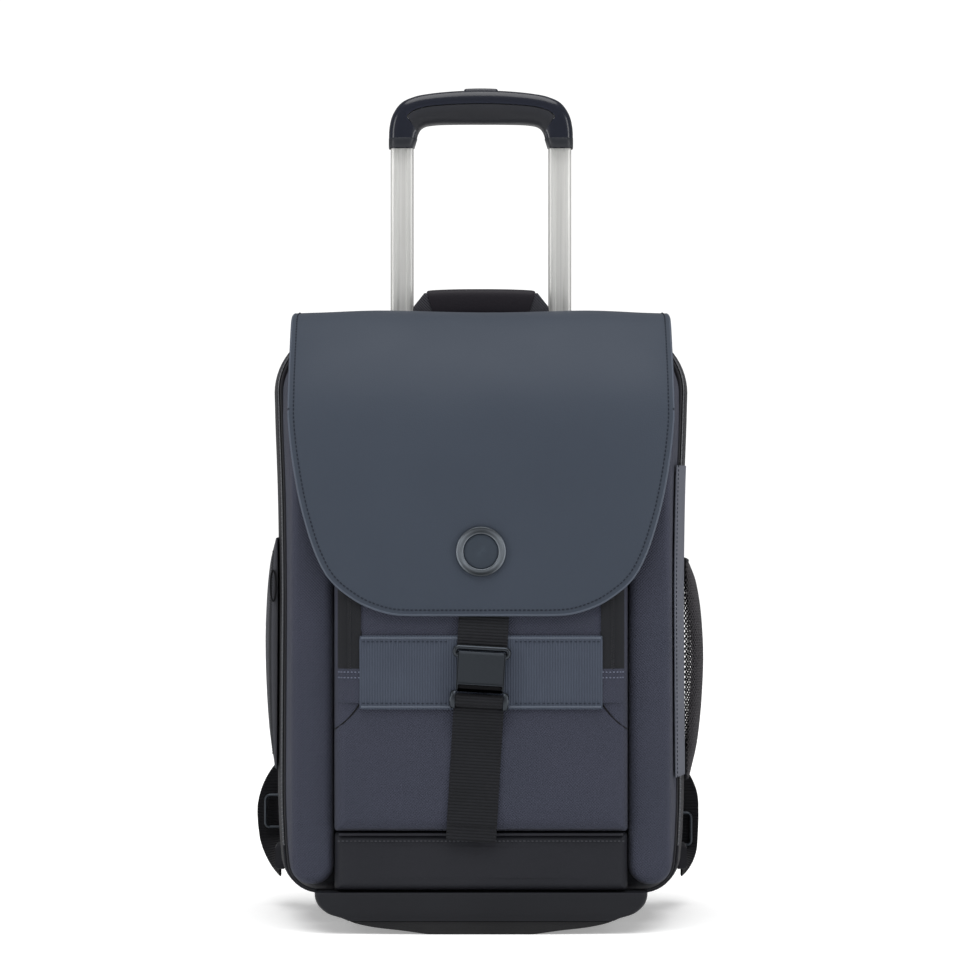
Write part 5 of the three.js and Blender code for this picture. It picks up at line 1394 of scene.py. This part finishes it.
# Points of the outer and inner edge that face each other, from the leg's foot to the middle
OUTER_EDGE = [(1, 0), (1, 0.17), (0.993, 0.37), (0.957, 0.585), (0.865, 0.785), (0.72, 0.893), (0.56, 0.943),
              (0.3, 0.984), (0, 1)]
INNER_EDGE = [(-LEG_TAPER, 0), (-0.0011, 0.0065), (0.0006, 0.0125), (0.0031, 0.0165), (0.0069, 0.0186),
              (0.0128, 0.0196),
              (0.0195, 0.0201), (0.0345, 0.0203), (0.0534, 0.0203)]
right_outer = [(grip_half * a, 0, grip_foot + grip_rise * u) for a, u in OUTER_EDGE]
right_inner = [(leg_inner - a, 0, grip_foot + u * (under_z - grip_foot) / 0.0203) for a, u in INNER_EDGE]


def whole_arch(half, count):
    mirror = [(-x, y, z) for x, y, z in half[:-1]]
    line = np.array(mirror + half[::-1])
    place = np.linspace(0, 1, len(line))
    steps = np.linspace(0, 1, count)
    smooth = spline(line, 801)
    knots = np.array([np.argmin(np.linalg.norm(smooth - p, axis=1)) / 800 for p in line])
    spots = np.interp(steps, place, knots)
    return np.stack([np.interp(spots, np.linspace(0, 1, 801), smooth[:, k]) for k in range(3)], axis=1)


outer_arch, inner_arch = whole_arch(right_outer, 121), whole_arch(right_inner, 121)
arch_middle, arch_half = (outer_arch + inner_arch) / 2, (outer_arch - inner_arch) / 2
grip_depth = (grip_high.y - grip_low.y) / 2
grip_y = (grip_low.y + grip_high.y) / 2
bar = np.clip((arch_middle[:, 2] - grip_foot - 0.014) / 0.012, 0, 1)
bar = bar * bar * (3 - 2 * bar)


def grip_rings(upper_part, squeeze=0.0, recess=0.0):
    """Rings of the arch between two angles of its section, with the parting line shared."""
    rings = []
    for centre, half, share in zip(arch_middle, arch_half, bar):
        split = math.radians(-58 + 62 * share)
        start, end = (split, math.pi - split) if upper_part else (math.pi - split + 0.03,
                                                                  2 * math.pi + split - 0.03)
        theta = np.linspace(start, end, 26)
        s = np.sign(np.sin(theta)) * np.abs(np.sin(theta)) ** 0.62 * (1 - squeeze)
        y = np.sign(np.cos(theta)) * np.abs(np.cos(theta)) ** 0.5 * (1 - squeeze)
        dip = recess * max(0, 1 - (centre[0] / 0.034) ** 2) * np.clip(-s * 1.6, 0, 1)
        rings.append(np.stack([centre[0] + half[0] * s, grip_y + (grip_depth - dip) * y,
                               centre[2] + half[2] * s], axis=1))
    return rings


# %% Grip and button
button_low, button_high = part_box("release_button")
grip_shell = mesh_object("grip_shell", loft_of(grip_rings(True), ladder=False))
well = box_tool((button_low.x - 0.0004, button_low.y - 0.0004, button_low.z - 0.0036),
                (button_high.x + 0.0004, button_high.y + 0.0004, 1))
grip_shell = carved(grip_shell, [well], sharp=40)
grip_shell.name = "grip_shell"
piece("grip_shell", grip_shell, GRIP, "grip", "handle_upper")
piece("grip_lower_bar", loft_of(grip_rings(False, 0.03, 0.0022), ladder=False), MATTE,
      "grip_insert", "handle_upper", sharp=50)
theta = np.linspace(0, 2 * math.pi, 52, endpoint=False)
for name, sign in (("left", -1), ("right", 1)):
    cuff = []
    for rise, size in ((0, 0.985), (0.0006, 1.012), (0.0044, 1.012), (0.0082, 1.012), (0.0088, 0.985)):
        inner_x = leg_inner + LEG_TAPER * (1 - rise / 0.0105)
        leg_x, leg_half = (grip_half + inner_x) / 2, (grip_half - inner_x) / 2
        x = np.sign(np.sin(theta)) * np.abs(np.sin(theta)) ** 0.62 * leg_half * size
        y = np.sign(np.cos(theta)) * np.abs(np.cos(theta)) ** 0.5 * grip_depth * size
        cuff.append(np.stack([sign * leg_x + x, grip_y + y, np.full(52, grip_foot + rise)], axis=1))
    piece(f"grip_cuff_{name}", loft_of(cuff, ladder=False), CUFF, body="handle_upper",
          sharp=40)
crown = [(0, 0), (0.6, 0), (0.9, 0.25), (1, 1)]
rings = []
for rise, inset in crown:
    half_x = (button_high.x - button_low.x) / 2 - inset * 0.0012
    half_y = (button_high.y - button_low.y) / 2 - inset * 0.0012
    z = button_low.z + (button_high.z - button_low.z) * rise
    outline = rounded_ring(half_x, half_y, 0.0024)
    rings.append([(x, y + (button_low.y + button_high.y) / 2, z - 2 * rise * x * x) for x, y in outline])
piece("release_key", loft_of(rings, ladder=False), GRIP, "release_button", "button", sharp=50)

# %% [markdown]
# The back is a tray of black padded mesh that holds the trolley tubes, with two flat pads on it.

# %% Back panel
low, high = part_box("back_panel")
tray_edges = (low.x, high.x, low.z, high.z)
tray_depth = high.y - low.y
tray = mesh_object("tray", pad_of(tray_edges, (0.03, 0.05, 0.05, 0.03), low.y, -tray_depth, 0.009))
room = (low.x + 0.003, high.x - 0.003, low.z + 0.003, high.z - 0.003)
tools = [mesh_object("cutter", pad_of(room, (0.027, 0.047, 0.047, 0.027), low.y + 0.0001,
                                      -(tray_depth - 0.003), 0.007))]
for name in ("left", "right"):
    tube_low, tube_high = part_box(f"tube_outer_{name}")
    tools.append(box_tool((tube_low.x - 0.0004, tube_low.y - 0.0004, low.z + 0.02),
                          (tube_high.x + 0.0004, tube_high.y + 0.0004, 1)))
tray = carved(tray, tools + [housing_tool(-1), housing_tool(1)])
tray.name = "back_tray"
back = piece("back_tray", tray, PADDED, "back_panel")
outline = panel_outline(tray_edges, (0.03, 0.05, 0.05, 0.03), 0.0)
seam = [(x, low.y + 0.0004, z) for x, z in outline]
piece("back_piping", tube_of(seam, 0.0016, (0, 1, 0), 8, closed=True), BLACK)
for name in ("left", "right"):
    low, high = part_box(f"back_pad_{name}")
    cushion = pad_of((low.x, high.x, low.z, high.z), (0.02,) * 4, low.y, low.y - high.y, 0.02, 0.001, 7)
    pad = piece(f"back_cushion_{name}", cushion, PADDED, f"back_pad_{name}")


# %% [markdown]
# Each shoulder strap is a flat padded band that follows a route down the back. Its edges are bound, a
# strip of webbing is sewn down its middle, and webbing runs on from its end to the bag's lower corner.

# %% Bands along a route
def turned_band(route, across, width, thickness, profile, count):
    """A band along a route: profile is (share of half width, share of half thickness) round its section."""
    line = even(spline(route, 400), count)
    along = unit(np.gradient(line, axis=0))
    sides = np.asarray(across(np.linspace(0, 1, count)), float)
    sides = unit(sides - along * (sides * along).sum(axis=1, keepdims=True))
    out = np.cross(along, sides)
    profile = np.asarray(profile, float)
    return (line[:, None] + sides[:, None] * profile[None, :, 0:1] * width / 2
            + out[:, None] * profile[None, :, 1:2] * thickness / 2), line, sides, out


def rounded_section(count, power=0.35):
    a = np.linspace(0, 2 * math.pi, count, endpoint=False)
    return np.stack([np.sign(np.cos(a)) * np.abs(np.cos(a)) ** power,
                     np.sign(np.sin(a)) * np.abs(np.sin(a)) ** 0.8], axis=1)


# %% Shoulder straps
SHOULDER_WIDTH, SHOULDER_THICK = 0.062, 0.011
panel_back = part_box("back_panel")[1].y
# Shares of the body's half width and height, and of the strap's own thickness out from the back
SHOULDER_ROUTE = [(0.27, 0.955, 0.58), (0.29, 0.9, 1), (0.36, 0.765, 1.8), (0.45, 0.59, 2), (0.54, 0.44, 1.7),
                  (0.6, 0.33, 1.2)]


def shoulder_point(sign, across, up, out):
    return (sign * across * body_half, panel_back + 0.0003 + out * SHOULDER_THICK,
            body_base + up * body_height)


for name, sign in (("left", -1), ("right", 1)):
    route = [shoulder_point(sign, *row) for row in SHOULDER_ROUTE]
    rings, line, sides, out = turned_band(route, lambda t: np.tile((1.0, 0, 0), (len(t), 1)), SHOULDER_WIDTH,
                                          SHOULDER_THICK, rounded_section(44), 110)
    taper = np.minimum(1, 0.35 + 0.65 * np.minimum(np.arange(110), np.arange(110)[::-1]) / 5)[:, None, None]
    rings = line[:, None] + (rings - line[:, None]) * (taper * np.abs(out[:, None]) + 1 - np.abs(out[:,
                                                                                                     None]))
    strap = piece(f"shoulder_pad_{name}", loft_of(rings, ladder=False), PADDED,
                  f"shoulder_strap_{name}",
                  sharp=60)
    outward = np.where(out[:, 1:2] > 0, out, -out)
    for n, side in enumerate((-1, 1)):
        edge = line + sides * side * (SHOULDER_WIDTH / 2 - 0.0006)
        piece(f"shoulder_binding_{name}_{n + 1}", tube_of(edge, 0.0022, (1, 0, 0), 10), BLACK)
        row = line + sides * side * (SHOULDER_WIDTH / 2 - 0.006) + outward * SHOULDER_THICK * 0.49
        piece(f"shoulder_stitches_{name}_{n + 1}", stitches_of(row[3:-3], outward[3:-3], 0.0036),
              BLACK_THREAD)
    strip = np.array([line + sides * s * 0.0125 + outward * (SHOULDER_THICK * 0.5 + 0.0012)
                      for s in np.linspace(-1, 1, 10)]).transpose(1, 0, 2)[2:-2]
    piece(f"shoulder_strip_{name}", sheet_of(strip, 0.0014, (0, 1, 0)), SIDE_WEB)

# %% Strap webbing
tab_low, tab_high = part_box("strap_tab_right")
tab_end = np.array((tab_high.x, (tab_low.y + tab_high.y) / 2, (tab_low.z + tab_high.z) / 2))
WEB_WIDTH, WEB_THICK = 0.025, 0.0018
WEB_SEWN = (0.169, 0.066, 0.0395)
# Shares of the way from the shoulder pad's end to the tab
WEB_ROUTES = {
    "left": [[0.014, 0.009, 0.027], [0.073, 0.019, 0.127], [0.268, 0.047, 0.251], [0.561, 0.084, 0.359],
             [0.827, 0.112, 0.444], [1.0, 0.121, 0.567], [1.08, 0.107, 0.699], [1.082, 0.103, 0.807],
             [1.06, 0.106, 0.907]],
    "right": [[0.014, 0.009, 0.027], [0.073, 0.019, 0.127], [0.254, 0.047, 0.251], [0.52, 0.084, 0.351],
              [0.757, 0.112, 0.428], [0.9, 0.121, 0.521], [1.0, 0.114, 0.637], [1.015, 0.107, 0.761],
              [1.01, 0.105, 0.876], [1.0, 0.108, 0.97]],
}
web_section = rounded_section(20, 0.15)


def twisted_end(centre, side, sewn, count=30):
    """The webbing's last run: it turns from facing front to standing on edge where it is sewn."""
    share = np.linspace(0, 1, count)[:, None]
    run = centre + (np.asarray(sewn) - centre) * np.hstack([share, share**1.5, share**0.85])
    turn = np.radians(90) * share
    across = unit(side * np.cos(turn) + np.array((0, 0, -1.0)) * np.sin(turn))
    out = unit(np.cross(unit(np.gradient(run, axis=0)), across))
    return (run[:, None] + across[:, None] * web_section[None, :, 0:1] * WEB_WIDTH / 2
            + out[:, None] * web_section[None, :, 1:2] * WEB_THICK / 2)


for name, sign in (("left", -1), ("right", 1)):
    start = np.array(shoulder_point(1, *SHOULDER_ROUTE[-1]))
    route = [tuple((start + (tab_end - start) * row) * (sign, 1, 1)) for row in np.array(WEB_ROUTES[name])]
    rings, line, sides, out = turned_band(route, lambda t: np.tile((sign, 0, 0.5), (len(t), 1)), WEB_WIDTH,
                                          WEB_THICK, web_section, 100)
    end = twisted_end(line[-1], sides[-1], np.array(WEB_SEWN) * (sign, 1, 1))
    if (out[-1] * (end[0, 5] - end[0, 15])).sum() < 0:
        end = end[:, (-np.arange(20)) % 20]
    rings = np.vstack([rings, end[1:]])
    piece(f"strap_webbing_{name}", loft_of(rings, ladder=False), SIDE_WEB, f"strap_web_{name}",
          sharp=50)
    low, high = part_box(f"strap_slider_{name}")
    centre_x, centre_y, centre_z = [(a + b) / 2 for a, b in zip(low, high)]
    half_x, half_z = (high.x - low.x) / 2, (high.z - low.z) / 2
    wire, bar_behind = 0.0014, 0.0065
    loop = np.array(rounded_loop(half_x - wire, half_z - wire, 0.004, centre_y, centre_z)) + (centre_x, 0, 0)
    bar_line = [(centre_x + x, centre_y + bar_behind, centre_z)
                for x in np.linspace(-half_x + wire, half_x - wire, 6)]
    slider = merged([tube_of(loop, wire, (0, 1, 0), 10, closed=True), tube_of(bar_line, wire, (0, 1, 0), 10)])
    piece(f"strap_buckle_{name}", slider, BUCKLE, f"strap_slider_{name}", sharp=50)
    low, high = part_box(f"strap_tab_{name}")
    folds = []
    for rise in np.linspace(0, 1, 14):
        a = math.pi * rise
        y = (low.y + high.y) / 2 - math.cos(a) * (high.y - low.y) / 2
        half = 0.5 * (high.z - low.z) * (0.82 + 0.18 * math.sin(a))
        z = (low.z + high.z) / 2
        x0, x1 = (low.x, high.x) if sign > 0 else (high.x, low.x)
        folds.append([(x0, y, z - half), (x0 + (x1 - x0) * 0.8, y, z - half), (x1, y, z - half * 0.8),
                      (x1, y, z + half * 0.8),
                      (x0 + (x1 - x0) * 0.8, y, z + half), (x0, y, z + half)])
    piece(f"strap_anchor_{name}", loft_of(folds, ladder=False), BLACK, f"strap_tab_{name}",
          sharp=50)

# %% [markdown]
# The foot at the front is one moulding with a rounded shell over a thin sole. The bag stands on it and on
# the two wheels.

# %% Foot
foot_low, foot_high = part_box("foot")
foot_half, foot_height = foot_high.x, foot_high.z
# Right half of the outline, shares of the half width and the height, from the flat sole to the top
FOOT_OUTLINE = [(0.34, 0), (0.49, 0.085), (0.665, 0.17), (0.775, 0.27), (0.83, 0.37), (0.925, 0.5),
                (0.98, 0.7),
                (0.998, 0.88), (1, 1)]
foot_side = spline([(a * foot_half, 0, u * foot_height) for a, u in FOOT_OUTLINE], 60)
LIP_Z = 0.0105


def foot_block(low_z, high_z, inset, front, back):
    """The slice of the foot between two heights, with a rounded front."""
    inside = (foot_side[:, 2] > low_z) & (foot_side[:, 2] < high_z)
    x_low, x_high = (np.interp(z, foot_side[:, 2], foot_side[:, 0]) for z in (low_z, high_z))
    side = [(x_low, low_z)] + [(p[0], p[2]) for p in foot_side[inside]] + [(x_high, high_z)]
    rings = []
    for share in np.linspace(0, 1, 12):
        pull = FOOT_ROUND * (1 - math.sin(math.acos(1 - share))) + inset
        y = front + inset + FOOT_ROUND * share
        right = [(x - pull, max(z, low_z + 0.0001)) for x, z in side]
        outline = right + [(-x, z) for x, z in right[::-1]]
        rings.append([(x, y, z) for x, z in outline])
    rings += [[(x, y, z) for x, _, z in rings[-1]] for y in np.linspace(front + 0.012, back, 8)]
    return rings


FOOT_ROUND = 0.006
foot_shell = mesh_object("foot_shell", loft_of(foot_block(LIP_Z, foot_high.z, 0.0, foot_low.y, foot_high.y)))
step = box_tool((-1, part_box("bottom_panel")[1].y - 0.0001, foot_high.z - 0.0133), (1, 1, 1))
foot_shell = carved(foot_shell, [step], sharp=40)
foot_shell.name = "foot_shell"
piece("foot_shell", foot_shell, FOOT, "foot")
sole_rings = foot_block(0.0, LIP_Z - 0.0004, 0.0008, foot_low.y, foot_high.y)
piece("foot_sole", loft_of(sole_rings), TYRE, sharp=40)

# %% Wheels and their housings
wheel_y = (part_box("tyre_right")[0].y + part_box("tyre_right")[1].y) / 2
wheel_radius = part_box("tyre_right")[1].z / 2
for name, sign in (("left", -1), ("right", 1)):
    low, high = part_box(f"wheel_housing_{name}")
    centre = ((low.x + high.x) / 2, wheel_y, wheel_radius)
    half, reach, wall = (high.x - low.x) / 2, (high.y - low.y) / 2, 0.003
    drum_profile = [(0.0001, -half), (reach - 0.001, -half), (reach, -half + 0.001), (reach, half - 0.001),
                    (reach - 0.001, half), (0.0001, half)]
    drum = mesh_object("drum", lathe_of(drum_profile, centre, 0, 96))
    room = [(0.0001, wall - half), (reach - wall, wall - half), (reach - wall, half - wall),
            (0.0001, half - wall)]
    drum = carved(drum, [mesh_object("cutter", lathe_of(room, centre, 0, 96)),
                         box_tool((-1, -1, -1), (1, 1, low.z))], sharp=40)
    axle = [(x, wheel_y, wheel_radius) for x in np.linspace(centre[0] - half + wall / 2,
                                                            centre[0] + half - wall / 2, 4)]
    drum.name = f"wheel_arch_{name}"
    piece(drum.name, drum, MATTE, f"wheel_housing_{name}")
    piece(f"wheel_axle_{name}", tube_of(axle, 0.0029, (0, 0, 1), 16), TUBE, sharp=60)
    body = f"wheel_{name}"
    low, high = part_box(f"tyre_{name}")
    half, rim = (high.x - low.x) / 2, wheel_radius - 0.006
    tread = [(rim + 0.0002, -half), (wheel_radius - 0.0026, -half)]
    tread += [(wheel_radius - 0.0026 + 0.0026 * math.sin(a), -half + 0.004 - 0.004 * math.cos(a))
              for a in np.linspace(0.2, 1.57, 6)]
    tread += [(wheel_radius, -0.0012), (wheel_radius - 0.0008, -0.0008)]
    tread += [(r, -a) for r, a in tread[::-1]]
    piece(f"wheel_tyre_{name}", lathe_of(tread, centre, 0, 96), TYRE, f"tyre_{name}", body,
          sharp=40)
    low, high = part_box(f"hub_{name}")
    boss = (high.x - low.x) / 2
    hub = [(0.0033, -boss), (0.0065, -boss), (0.0075, -boss + 0.001), (0.0078, -0.0065), (0.0165, -0.0052),
           (0.0185, -0.0098), (rim - 0.0016, -0.0106), (rim - 0.0003, -0.0098)]
    hub += [(r, -a) for r, a in hub[::-1]]
    ribs = []
    for k in range(5):
        a = 2 * math.pi * k / 5
        spoke = []
        for r, wide in ((0.0074, 0.0021), (0.0185, 0.0015)):
            spoke.append([(centre[0] + x, centre[1] + r * math.cos(a) - w * math.sin(a),
                           centre[2] + r * math.sin(a)
                           + w * math.cos(a)) for x, w in ((-0.009, -wide), (0.009, -wide), (0.009, wide),
                                                           (-0.009, wide))])
        ribs.append(loft_of(spoke, ladder=False))
    piece(f"wheel_hub_{name}", merged([lathe_of(hub, centre, 0, 72)] + ribs), MATTE,
          f"hub_{name}",
          body, sharp=35)

# %% [markdown]

# %% Cloth sizes
low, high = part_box("storm_flap")


# %% [markdown]
# The bounds of the model are taken, and the scene is finished.

# %% Finish
low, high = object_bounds()
